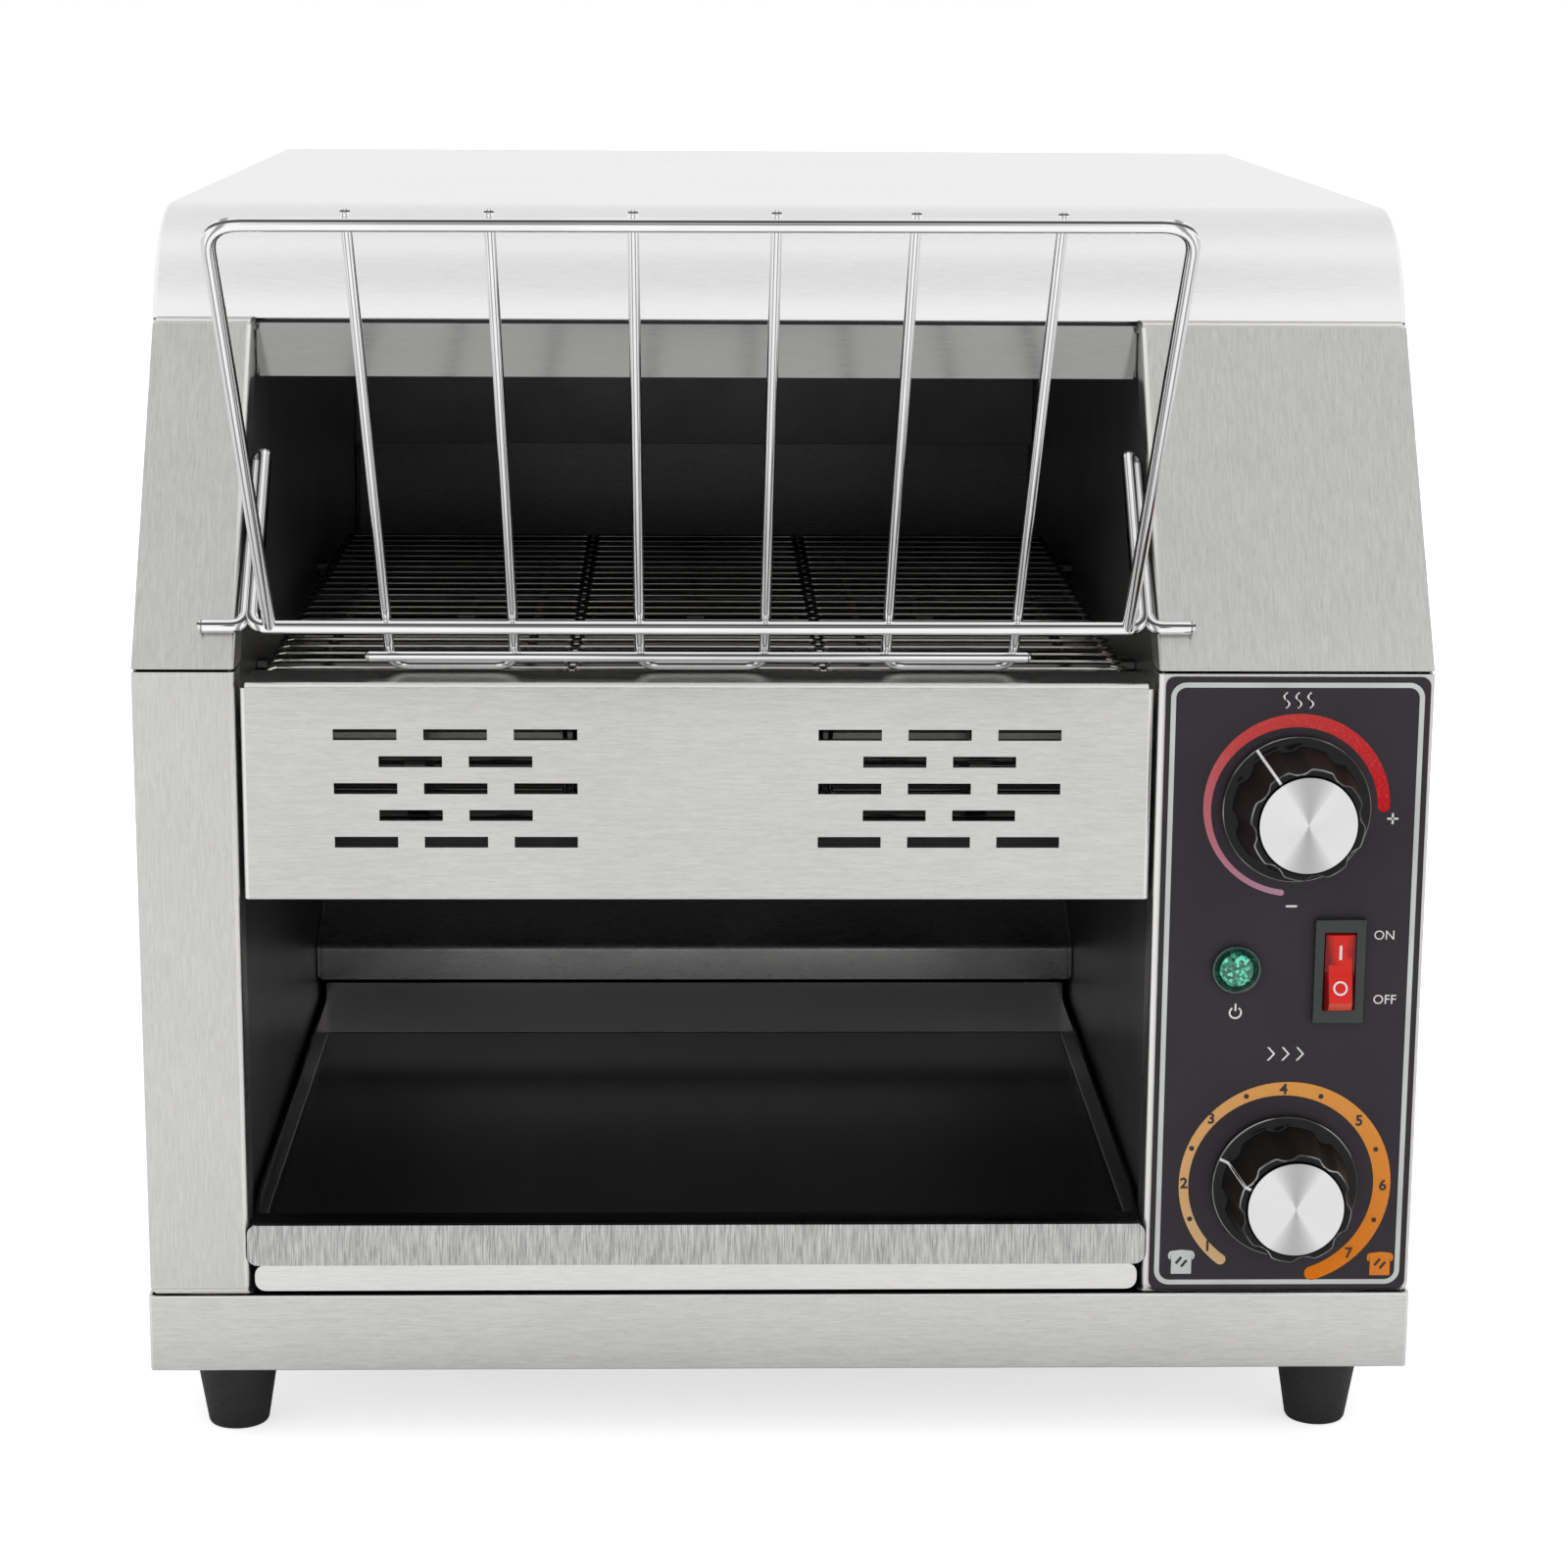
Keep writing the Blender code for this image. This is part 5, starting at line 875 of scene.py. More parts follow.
def belt_strand():
    """One belt wire, whose hooks reach over the next one."""
    half = BELT_WIDTH / 2
    reach_out = PITCH + HOOK_REACH
    corners = [(EDGE_HOOK - half, PITCH, 0), (-half, EDGE_LEG, 0), (EDGE_BOW - half, 0, 0)]
    for centre in (-JOINT, JOINT):
        corners += [(centre - HOOK_ROOT / 2, 0, 0), (centre - HOOK_TIP / 2, reach_out, -HOOK_DIP)]
        corners += [(centre + HOOK_TIP / 2, reach_out, -HOOK_DIP), (centre + HOOK_ROOT / 2, 0, 0)]
    corners += [(half - EDGE_BOW, 0, 0), (half, EDGE_LEG, -HOOK_DIP), (half - EDGE_HOOK, PITCH, -HOOK_DIP)]
    route = [(point, BELT_WIRE / 2) for point in rounded_path(corners, BELT_CORNER, 4)]
    return tubes("belt_strand", [route], 2)


def belt():
    """Every strand in its place round both shafts."""
    places = []
    for index in range(2 * RUN_PITCHES + TEETH):
        y, z = loop_place(index)
        next_y, next_z = loop_place(index + 1)
        slope = math.atan2(next_z - z, next_y - y)
        places.append(Matrix.Translation((MOUTH_CENTRE, y, z)) @ Matrix.Rotation(slope, 4, "X"))
    fit(repeat("belt_mesh", belt_strand(), places), "belt", "belt_wire", "chassis", "conveyor_belt")


# Screws and feet

FORWARD = Vector((0, -1, 0))
BACKWARD = Vector((0, 1, 0))
UPWARD = Vector((0, 0, 1))
THIN_END = 1e-5
FAN_CENTRE = (0.145075, 0.150)
FAN_SCREW = 0.025
SIDE_FACE = 0.18355
# Screws on the back as (x, z), and on each side as (y, z).
BACK_SCREWS = ((-0.174, 0.058), (-0.174, 0.20), (-0.174, 0.336), (0.174, 0.058), (0.174, 0.20),
               (0.174, 0.336), (0.0, 0.058), (0.0, 0.336))
SIDE_SCREWS = ((-0.160, 0.060), (-0.160, 0.215), (0.040, 0.060), (0.040, 0.332), (0.250, 0.060),
               (0.250, 0.332))
HEAD_RADIUS = 0.0032
HEAD_SINK = 0.0002
HEAD_PROFILE = ((1, 0.35), (0.92, 0.65), (0.72, 0.88), (0.4, 1), (0, 1))
HEAD_RECESS = (1.1, 0.26, 0.9)
BACK_HEAD = 0.0018
SIDE_HEAD = 0.0009
FOOT_PROFILE = ((0, 0), (0.0078, 0), (0.0086, 0.0003), (0.0090, 0.0010), (0.0125, 0.0226),
                (0.01275, 0.0234), (0.01265, 0.0239), (0, 0.0239))


def revolved(name, profile, centre, way=FORWARD, steps=48):
    """A profile of (radius, distance) pairs turned about a line through a centre."""
    first = Vector((1, 0, 0))
    second = way.cross(first)
    turns = [2 * math.pi * step / steps for step in range(steps)]
    spokes = [first * math.cos(turn) + second * math.sin(turn) for turn in turns]
    rows = []
    for radius, distance in profile:
        middle = Vector(centre) + way * distance
        rows.append([middle + spoke * max(radius, THIN_END) for spoke in spokes])
    return grid(name, rows, closed=True, ends=True)


def screw_head(rise):
    """A low domed head with a crossed recess, standing along Z."""
    profile = [(HEAD_RADIUS, -HEAD_SINK)] + [(HEAD_RADIUS * out, rise * up) for out, up in HEAD_PROFILE]
    made = revolved("head", profile, (0, 0, 0), UPWARD, 28)
    long, wide, deep = HEAD_RECESS
    size = Matrix.Diagonal((HEAD_RADIUS * long, HEAD_RADIUS * wide, rise * deep, 1))
    for turn in (0, 90):
        bar = bmesh.new()
        place = Matrix.Rotation(math.radians(turn), 4, "Z") @ Matrix.Translation((0, 0, rise))
        bmesh.ops.create_cube(bar, size=1, matrix=place @ size)
        tool = mesh_object("recess", bar, False)
        step = made.modifiers.new("recess", "BOOLEAN")
        step.operation = "DIFFERENCE"
        step.solver = "EXACT"
        step.object = tool
        made = settled(made)
        bpy.data.objects.remove(tool)
    return made


def screws():
    """Screw heads on the back, round the fan's outlet and on both sides."""
    fan_x, fan_z = FAN_CENTRE
    around = [(fan_x + x, fan_z + z) for x in (-FAN_SCREW, FAN_SCREW) for z in (-FAN_SCREW, FAN_SCREW)]
    outward = Matrix.Rotation(math.radians(-90), 4, "X")
    places = [Matrix.Translation((x, BACK, z)) @ outward for x, z in (*BACK_SCREWS, *around)]
    fit(repeat("back_screws", screw_head(BACK_HEAD), places), "zinc", "steel", "chassis")
    places = []
    for side in (-1, 1):
        outward = Matrix.Rotation(math.radians(90 * side), 4, "Y")
        places += [Matrix.Translation((side * SIDE_FACE, y, z)) @ outward for y, z in SIDE_SCREWS]
    fit(repeat("side_screws", screw_head(SIDE_HEAD), places), "zinc", "steel", "chassis")


def feet():
    """Tapered rubber feet with a rounded tread edge."""
    for node in ("foot_front_left", "foot_front_right", "foot_back_left", "foot_back_right"):
        low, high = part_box(node)
        middle = (low + high) / 2
        made = revolved(node + "_rubber", FOOT_PROFILE, (middle.x, middle.y, low.z), UPWARD)
        fit(made, "rubber", "rubber", "chassis", node)


# Back fittings

GUARD_WIRE = 0.0008
GUARD_RINGS = (0.0085, 0.0150, 0.0215, 0.0280)
GUARD_RING_OUT = 0.0026
GUARD_CROSS_OUT = 0.0010
# As (share of the flange's radius, distance from the back).
GLAND_PROFILE = ((0, -0.006), (0.8, -0.006), (0.8, 0), (1, 0), (1, 0.0032), (0.97, 0.0036),
                 (0.86, 0.0038), (0.85, 0.0085), (0.80, 0.0102), (0.68, 0.0114), (0.50, 0.0118),
                 (0.44, 0.0115), (0.42, 0.0108), (0.42, 0.0040), (0, 0.0040))


def fan_guard():
    """Wire rings over the fan's outlet, on two crossed wires that run to the fan's screws."""
    x, z = FAN_CENTRE
    routes = []
    for radius in GUARD_RINGS:
        ring = [on_circle(x, z, radius, 10 * step) for step in range(37)]
        routes.append([((side, BACK + GUARD_RING_OUT, height), GUARD_WIRE) for side, height in ring])
    for sense in (-1, 1):
        ends = [Vector((x + side * FAN_SCREW, BACK + GUARD_CROSS_OUT, z + side * sense * FAN_SCREW))
                for side in (-1, 1)]
        routes.append(domed([ends[0], (ends[0] + ends[1]) / 2, ends[1]], GUARD_WIRE))
    fit(tubes("fan_guard", routes, 3), "zinc", "steel", "chassis")


def gland():
    """The empty cable gland: a flanged nut, a rounded cap nut and an open bore."""
    low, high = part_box("cable_gland")
    middle = (low + high) / 2
    radius = (high.x - low.x) / 2
    profile = [(radius * share, out) for share, out in GLAND_PROFILE]
    made = revolved("gland_nut", profile, (middle.x, BACK, middle.z), BACKWARD)
    fit(made, "dull_black", "black_plastic", "chassis", "cable_gland")


# Knobs

SKIRT_RADIUS = 0.02125
SKIRT = 0.0026
SKIRT_EDGE = 0.0006
KNOB_FACE = 0.0220
FACE_EDGE = 0.0005
GRIP_FOOT = 0.0185
GRIP_TOP = 0.01625
RECESS = 0.0141
RECESS_FLOOR = KNOB_FACE - 0.0012
CAP_RADIUS = 0.0138
CAP_SEAT = KNOB_FACE - 0.0006
CAP_PROFILE = ((0, CAP_SEAT), (CAP_RADIUS, CAP_SEAT), (CAP_RADIUS, 0.02255),
               (CAP_RADIUS - 0.00008, 0.02272), (CAP_RADIUS - 0.00025, 0.0228),
               (CAP_RADIUS - 0.0003, 0.0228), (0.0005, 0.0228), (0.0003, 0.02276), (0, 0.0227))
# Rings as (distance from the knob's back, radius).
SKIRT_FOOT = ((0, 0.0030), (0, 0.0205), (0.0002, 0.02105), (0.0006, SKIRT_RADIUS))
SKIRT_TOP = (SKIRT + 0.00005, 0.0200)
GRIP_ROOT = ((SKIRT + 0.0001, GRIP_FOOT + 0.0004), (SKIRT + 0.0003, GRIP_FOOT + 0.0001),
             (SKIRT + 0.0007, GRIP_FOOT - 0.00005))
FACE_RINGS = ((KNOB_FACE, RECESS + 0.0003), (KNOB_FACE - 0.0002, RECESS), (RECESS_FLOOR, RECESS),
              (RECESS_FLOOR, 0.0005))
FLUTE_RADIUS = 0.005
FLUTE_DEPTH = 0.0014
FLUTE_START = math.radians(10)
FLUTE_STEP = math.radians(45)
FLUTE_SOFTNESS = 0.00018
FLUTE_FAR = 30
KNOB_STEPS = 160
POINTER_WIDTH = 0.00084
POINTER_ROOT = 0.0001
HEAT_POINTER = 34.7
SPEED_POINTER = 66.0


def fluted(radius, angle):
    """Distance from the axis to the grip's side, with its finger hollows."""
    hollow = radius + FLUTE_RADIUS - FLUTE_DEPTH
    away = (angle - FLUTE_START + FLUTE_STEP / 2) % FLUTE_STEP - FLUTE_STEP / 2
    side = hollow * math.sin(away)
    if abs(side) >= FLUTE_RADIUS:
        return radius
    cut = hollow * math.cos(away) - math.sqrt(FLUTE_RADIUS ** 2 - side ** 2)
    gap = (radius - cut) / FLUTE_SOFTNESS
    if gap > FLUTE_FAR:
        return cut
    softened = math.log(2) * math.exp(-abs(gap)) - math.log(1 + math.exp(gap))
    return radius + FLUTE_SOFTNESS * softened


def knob_rings():
    """Rings from the panel outwards as (distance, radius, drawn in, fluted)."""
    skirt = list(SKIRT_FOOT)
    for step in range(5):
        radius, distance = on_circle(SKIRT_RADIUS - SKIRT_EDGE, SKIRT - SKIRT_EDGE, SKIRT_EDGE, 22.5 * step)
        skirt.append((distance, radius))
    skirt.append(SKIRT_TOP)
    grip = list(GRIP_ROOT)
    slope = (GRIP_FOOT - GRIP_TOP) / (KNOB_FACE - SKIRT)
    for share in (0.25, 0.5, 0.75):
        rise = (KNOB_FACE - FACE_EDGE - SKIRT) * share
        grip.append((SKIRT + rise, GRIP_FOOT - slope * rise))
    rings = [(*ring, 0, False) for ring in skirt] + [(*ring, 0, True) for ring in grip]
    for step in range(5):
        drawn, distance = on_circle(FACE_EDGE, KNOB_FACE - FACE_EDGE, -FACE_EDGE, -22.5 * step)
        rings.append((distance, GRIP_TOP, drawn, True))
    return rings


def knob_surface(centre, ring, angle, lift=0.0):
    """A point of the knob's surface, lifted off it by this much."""
    distance, radius, drawn_in, has_flutes = ring
    if has_flutes:
        radius = fluted(radius, angle) - drawn_in
    radius += lift
    x, z = centre
    return Vector((x + radius * math.cos(angle), KNOB_BACK - distance - lift, z + radius * math.sin(angle)))


def knob(name, centre, body):
    """A fluted grip on a round skirt, hollowed for its cap, with its edges marked for painted highlights.
    """
    rings = knob_rings() + [(*ring, 0, False) for ring in FACE_RINGS]
    turns = [2 * math.pi * step / KNOB_STEPS for step in range(KNOB_STEPS)]
    rows = [[knob_surface(centre, ring, turn) for turn in turns] for ring in rings]
    made = grid(name + "_grip", rows, closed=True, ends=True)
    # Marks the skirt's rim and the grip's top edge for the painted highlight.
    painted_edge_highlight = made.data.attributes.new("edge", "FLOAT", "POINT")
    for vert, item in zip(made.data.vertices, painted_edge_highlight.data):
        out = KNOB_BACK - vert.co.y
        radius = math.hypot(vert.co.x - centre[0], vert.co.z - centre[1])
        on_skirt = radius > SKIRT_RADIUS - 0.0003 and SKIRT - 0.0005 < out < SKIRT
        on_grip = KNOB_FACE - 0.00035 < out < KNOB_FACE - 0.00001 and radius > RECESS + 0.0005
        item.value = 1.0 if on_skirt or on_grip else 0.0
    fit(made, "black", "black_plastic", body, name)


def cap(name, finish, centre, body):
    """The turned disc in the knob's face."""
    x, z = centre
    fit(revolved(name + "_spun", CAP_PROFILE, (x, KNOB_BACK, z), steps=96), finish, "knob_cap", body, name)


def pointer(name, centre, angle, body):
    """The white line that runs over the skirt and up the grip to the cap."""
    middle = math.radians(90 + angle)
    rows = []
    for ring in knob_rings()[6:] + [(KNOB_FACE, RECESS + 0.0002, 0, False)]:
        radius = fluted(ring[1], middle) if ring[3] else ring[1]
        spread = POINTER_WIDTH / 2 / radius
        rows.append([knob_surface(centre, ring, middle + side * spread, lift)
                     for side, lift in ((-1, -POINTER_ROOT), (-1, PRINT), (1, PRINT), (1, -POINTER_ROOT))])
    fit(grid(name, rows, closed=True, ends=True), "white_ink", "knob_cap", body)


def knobs():
    """Both dials, each with its cap and its pointer."""
    knob("heat_knob", HEAT_KNOB, "heat_dial")
    knob("speed_knob", SPEED_KNOB, "speed_dial")
    cap("heat_knob_cap", "heat_cap", HEAT_KNOB, "heat_dial")
    cap("speed_knob_cap", "speed_cap", SPEED_KNOB, "speed_dial")
    pointer("heat_pointer", HEAT_KNOB, HEAT_POINTER, "heat_dial")
    pointer("speed_pointer", SPEED_KNOB, SPEED_POINTER, "speed_dial")


# Lamp

# Both profiles as (radius, distance from the panel).
LAMP_RING = ((0, -0.0044), (0.0050, -0.0044), (0.0050, 0.0002), (0.0054, 0.00035), (0.0060, 0.0008),
             (0.0064, 0.0012), (0.0066, 0.0014), (0.00675, 0.00145), (0.0069, 0.0014), (0.00705, 0.0011),
             (0.0071, 0.0006), (0.0071, -0.0002), (0.0058, -0.0002), (0.0058, -0.016), (0, -0.016))
LAMP_LENS = ((0, -0.0042), (0.0049, -0.0042), (0.0049, 0.0013), (0.0046, 0.0017), (0.0038, 0.0020),
             (0.0024, 0.00215), (0, 0.0022))


def lamp():
    """The pilot lamp's rounded ring and its lens."""
    x, z = LAMP
    centre = (x, PANEL_FACE, z)
    fit(revolved("lamp_ring", LAMP_RING, centre), "ring", "lamp_chrome", "chassis", "lamp_body")
    fit(revolved("lamp_glitter", LAMP_LENS, centre), "glitter", "green_lens", "chassis", "lamp_lens")


# Printing on the panel

OVER_INK = OVERLAY_FACE - PRINT
LETTER_SHARE = 0.72
BORDER = (OVERLAY_LEFT + 0.0015, OVERLAY_BOTTOM + 0.0014, OVERLAY_RIGHT - 0.0017, OVERLAY_TOP - 0.0015)
BORDER_WIDTH = 0.00145
# Each scale's outer and inner circle as (x, z, radius), then its first and its last angle.
HEAT_SCALE = ((0.1459, 0.1942, 0.0267), (0.1453, 0.1932, 0.02387), 1.2, 262.5)
SPEED_SCALE = ((0.14657, 0.0810, 0.0310), (0.14542, 0.0809, 0.0271), 232.7, -70.9)
# Places on the speed scale in millimetres.
NUMBERS = ((124.53, 61.86), (117.03, 81.15), (124.43, 100.86), (145.26, 109.74), (167.63, 100.19),
           (175.34, 80.42), (166.12, 59.63))
NUMBER_HEIGHT = 0.0032
NUMBER_WEIGHT = 0.00012
DOTS = ((119.09, 70.33), (119.0, 91.92), (134.48, 107.68), (156.19, 107.64), (172.86, 91.52),
        (173.19, 69.89))
DOT_RADIUS = 0.00075
SWITCH_WORDS = (("ON", 0.0028, 0.1727, 0.1559), ("OFF", 0.0028, 0.1735, 0.1367))
STROKE = 0.0006
SIGN = 0.0032
HEAT_MARK = (0.1454, 0.2248)
HEAT_MARK_PITCH = 0.0034
TRAVEL_MARK = (0.1400, 0.1205)
TRAVEL_MARK_PITCH = 0.0042
PLUS = (0.1736, 0.1904)
MINUS = (0.1455, 0.1646)
POWER = (0.1304, 0.1329)
POWER_RADIUS = 0.0019
POWER_HOLE = 0.72
PALE_SLICE = (0.1170, 0.0571)
BROWN_SLICE = (0.1755, 0.0564)


def slab(made, outline, depth):
    """A ring of four vertices round a thin band of ink at each pair of (outer, inner) points."""
    rings = []
    for outer, inner in outline:
        ring = ((outer, -PRINT), (inner, -PRINT), (inner, PRINT / 2), (outer, PRINT / 2))
        rings.append([made.verts.new((x, depth + rise, z)) for (x, z), rise in ring])
    return rings


def print_outline(name, outlines, finish, depth=OVERLAY_FACE):
    """Thin ink slabs from outlines of (x, z) points on the panel's face."""
    made = bmesh.new()
    for outline in outlines:
        rows = [[made.verts.new((x, y, z)) for x, z in outline] for y in (depth - PRINT, depth + PRINT / 2)]
        skin(made, rows, closed=True, ends=True)
    bmesh.ops.triangulate(made, faces=[face for face in made.faces if len(face.verts) > 4])
    fit(mesh_object(name, made, False), finish, "black_panel", "chassis")


def strip_outline(outer, inner, cap_steps=6):
    """Two rows of points joined by round ends."""
    def end(first, last):
        middle = (Vector(first) + Vector(last)) / 2
        spoke = Vector(first) - middle
        turned = Vector((spoke.y, -spoke.x))
        turns = [math.pi * step / cap_steps for step in range(1, cap_steps)]
        return [tuple(middle + spoke * math.cos(turn) + turned * math.sin(turn)) for turn in turns]
    return list(outer) + end(outer[-1], inner[-1]) + list(inner)[::-1] + end(inner[0], outer[0])


def dial_scale(name, finish, outer, inner, start, stop, steps=72):
    """A crescent of ink with round ends between two circles, given as (x, z, radius) each."""
    angles = [start + (stop - start) * step / steps for step in range(steps + 1)]
    first, second = ([on_circle(*circle, angle) for angle in angles] for circle in (outer, inner))
    stations = [(first[index], second[index], index / steps) for index in range(steps + 1)]
    for index, sense in ((0, -1), (steps, 1)):
        middle = (Vector(first[index]) + Vector(second[index])) / 2
        spoke = Vector(first[index]) - middle
        out = Vector((-spoke.y, spoke.x)) * sense * (1 if stop > start else -1)
        extra = []
        for step in range(1, 7):
            turn = math.pi / 2 * step / 6
            rise, away = spoke * math.cos(turn) * 0.999, out * math.sin(turn)
            extra.append((tuple(middle + away + rise), tuple(middle + away - rise), index / steps))
        stations = extra[::-1] + stations if index == 0 else stations + extra
    made = bmesh.new()
    along = made.verts.layers.float.new("along")
    rings = slab(made, [station[:2] for station in stations], OVERLAY_FACE)
    for ring, (_, _, share) in zip(rings, stations):
        for vert in ring:
            vert[along] = share
    skin(made, rings, closed=True, ends=True)
    fit(mesh_object(name, made, False), finish, "black_panel", "chassis")


def words(name, finish, items, depth=OVERLAY_FACE, weight=0.0):
    """Figures and short words on the panel, given as (text, height, x, z) each."""
    made = bmesh.new()
    for text, height, x, z in items:
        curve = bpy.data.curves.new(name, "FONT")
        curve.body = text
        curve.size = height / LETTER_SHARE
        curve.align_x = "CENTER"
        curve.align_y = "CENTER"
        curve.extrude = PRINT / 2
        curve.offset = weight
        curve.resolution_u = 4
        piece = settled(new_object(name, curve))
        upright = Matrix.Rotation(math.radians(90), 4, "X")
        piece.data.transform(Matrix.Translation((x, depth - PRINT * 1.1, z)) @ upright)
        made.from_mesh(piece.data)
        bpy.data.objects.remove(piece)
    fit(mesh_object(name, made, False), finish, "black_panel", "chassis")


def rounded_rectangle(left, bottom, right, top, radius):
    """An outline whose corners are quarters of a circle, anticlockwise from the right."""
    outline = []
    for x, z, start in ((right - radius, top - radius, 0), (left + radius, top - radius, 90),
                        (left + radius, bottom + radius, 180), (right - radius, bottom + radius, 270)):
        outline += [on_circle(x, z, radius, start + 9 * step) for step in range(11)]
    return outline


def band(outer, inner, depth=OVERLAY_FACE):
    """A closed flat band between two outlines with the same number of points."""
    made = bmesh.new()
    rings = slab(made, zip(outer, inner), depth)
    skin(made, rings + rings[:1], closed=True)
    return made


def wavy_mark(x, z, height, width):
    """One upright wavy stroke, as a mark for heat."""
    left, right = [], []
    for step in range(17):
        share = step / 16
        middle = x + 0.18 * height * math.sin(2 * math.pi * share)
        left.append((middle - width / 2, z + height * (share - 0.5)))
        right.append((middle + width / 2, z + height * (share - 0.5)))
    return strip_outline(left, right)


def chevron(x, z, height, width):
    """An arrowhead stroke that points right, as a mark for travel."""
    left = [(x, z + height / 2), (x + height * 0.45, z), (x, z - height / 2)]
    return left + [(side + width, level) for side, level in left[::-1]]


def slice_mark(x, z, width, height):
    """A slice of bread: a straight body under a wider rounded crown."""
    half = width / 2
    foot, neck = (z - height / 2, z + height * 0.08)
    points = [(x - half * 0.76, foot), (x + half * 0.76, foot), (x + half * 0.76, neck)]
    for step in range(13):
        turn = math.radians(-50 + 280 * step / 12)
        side = half * 0.72 if math.cos(turn) > 0 else -half * 0.72
        rise = height * (0.26 + 0.20 * math.sin(turn))
        points.append((x + side + half * 0.28 * math.cos(turn), z + rise))
    points.insert(10, (x, z + height / 2))
    points.append((x - half * 0.76, neck))
    return points


def slanted_marks(x, z):
    """Two short slanted strokes side by side."""
    marks = []
    along, across = Vector((0.0008, 0.0010)), Vector((0.00031, -0.00023))
    for offset in (-0.0008, 0.0008):
        middle = Vector((x + offset, z - offset * 0.6))
        low, high = middle - along, middle + along
        marks.append([tuple(low - across), tuple(low + across), tuple(high + across), tuple(high - across)])
    return marks


def bar_mark(x, z, width, height):
    """The outline of an upright rectangle round its middle."""
    corners = ((-1, -1), (1, -1), (1, 1), (-1, 1))
    return [(x + side * width / 2, z + rise * height / 2) for side, rise in corners]


def printing():
    """Border, scales and generic marks in the places where the panel is printed."""
    left, bottom, right, top = BORDER
    outer = rounded_rectangle(left, bottom, right, top, 0.0044)
    inner = rounded_rectangle(left + BORDER_WIDTH, bottom + BORDER_WIDTH, right - BORDER_WIDTH,
                              top - BORDER_WIDTH, 0.0030)
    fit(mesh_object("border_line", band(outer, inner), False), "ink", "black_panel", "chassis")
    dial_scale("heat_scale", "heat_ink", *HEAT_SCALE)
    dial_scale("speed_scale", "speed_ink", *SPEED_SCALE)
    numbers = [(str(value), NUMBER_HEIGHT, x / 1000, z / 1000) for value, (x, z) in enumerate(NUMBERS, 1)]
    words("dial_numbers", "dark_ink", numbers, OVER_INK, NUMBER_WEIGHT)
    dots = [[on_circle(x / 1000, z / 1000, DOT_RADIUS, 22.5 * step) for step in range(16)] for x, z in DOTS]
    print_outline("dial_dots", dots, "dark_ink", OVER_INK)
    words("switch_words", "white_ink", SWITCH_WORDS)
    x, z = HEAT_MARK
    marks = [wavy_mark(x + HEAT_MARK_PITCH * index, z, 0.0042, 0.00055) for index in (-1, 0, 1)]
    x, z = TRAVEL_MARK
    marks += [chevron(x + TRAVEL_MARK_PITCH * index, z, 0.0040, STROKE) for index in range(3)]
    marks += [bar_mark(*PLUS, SIGN, STROKE), bar_mark(*PLUS, STROKE, SIGN), bar_mark(*MINUS, SIGN, STROKE)]
    print_outline("panel_marks", marks, "white_ink")
    x, z = POWER
    ring, inside = ([on_circle(x, z, POWER_RADIUS * share, angle) for angle in range(125, 416, 10)]
                    for share in (1, POWER_HOLE))
    print_outline("power_mark", [ring + inside[::-1], bar_mark(x, z + 0.0016, 0.0005, 0.0022)], "white_ink")
    print_outline("pale_slice", [slice_mark(*PALE_SLICE, 0.0078, 0.0074)], "ink")
    print_outline("brown_slice", [slice_mark(*BROWN_SLICE, 0.0078, 0.0072)], "orange_ink")
    marks = slanted_marks(*PALE_SLICE) + slanted_marks(*BROWN_SLICE)
    print_outline("slice_marks", marks, "dark_ink", OVER_INK)


# Switch

ROCKER_TILT = math.radians(-10)
ROCKER_FACE = PANEL_FACE - 0.0018
ROCKER_FOOT = 0.00435
ROCKER_TOP = 0.00340
ROCKER_ROOT = -0.0036
ROCKER_END = 0.0112
ROCKER_MIDDLE = 0.0009
ROCKER_RISE = 0.0013
ROCKER_RUN = 0.0105
ROCKER_LEVELS = (0.0080, 0.0050, 0.0020, 0, -0.0020, -0.0050, -0.0080)
SWITCH_RIM = 0.0003
# The frame's rings as (half width, half height, distance from the panel).
BEZEL_RINGS = ((0.00625, 0.01350, -0.0230), (0.00625, 0.01350, -0.0001), (0.0073, 0.0154, -0.0001),
               (0.0073, 0.0154, 0.0018), (0.00455, 0.01145, 0.0018), (0.00455, 0.01145, -0.0042))
MARK_LINE = (0.00075, 0.0042)
MARK_LINE_CORE = (0.00001, 0.0034)
MARK_LINE_HEIGHT = 0.0004
MARK_RING = 0.0021
MARK_RING_SHARE = 0.74
MARK_RING_HEIGHT = 0.0006


def rocker_frame():
    """The tilted rocker's own frame, with its middle on the frame's face."""
    x, z = SWITCH
    return Matrix.Translation((x, ROCKER_FACE, z)) @ Matrix.Rotation(ROCKER_TILT, 4, "X")


def rocker_depth(z):
    """How far the rocker's face stands out at this height, in its own tilted frame."""
    return ROCKER_MIDDLE + ROCKER_RISE * min(abs(z) / ROCKER_RUN, 1.0)


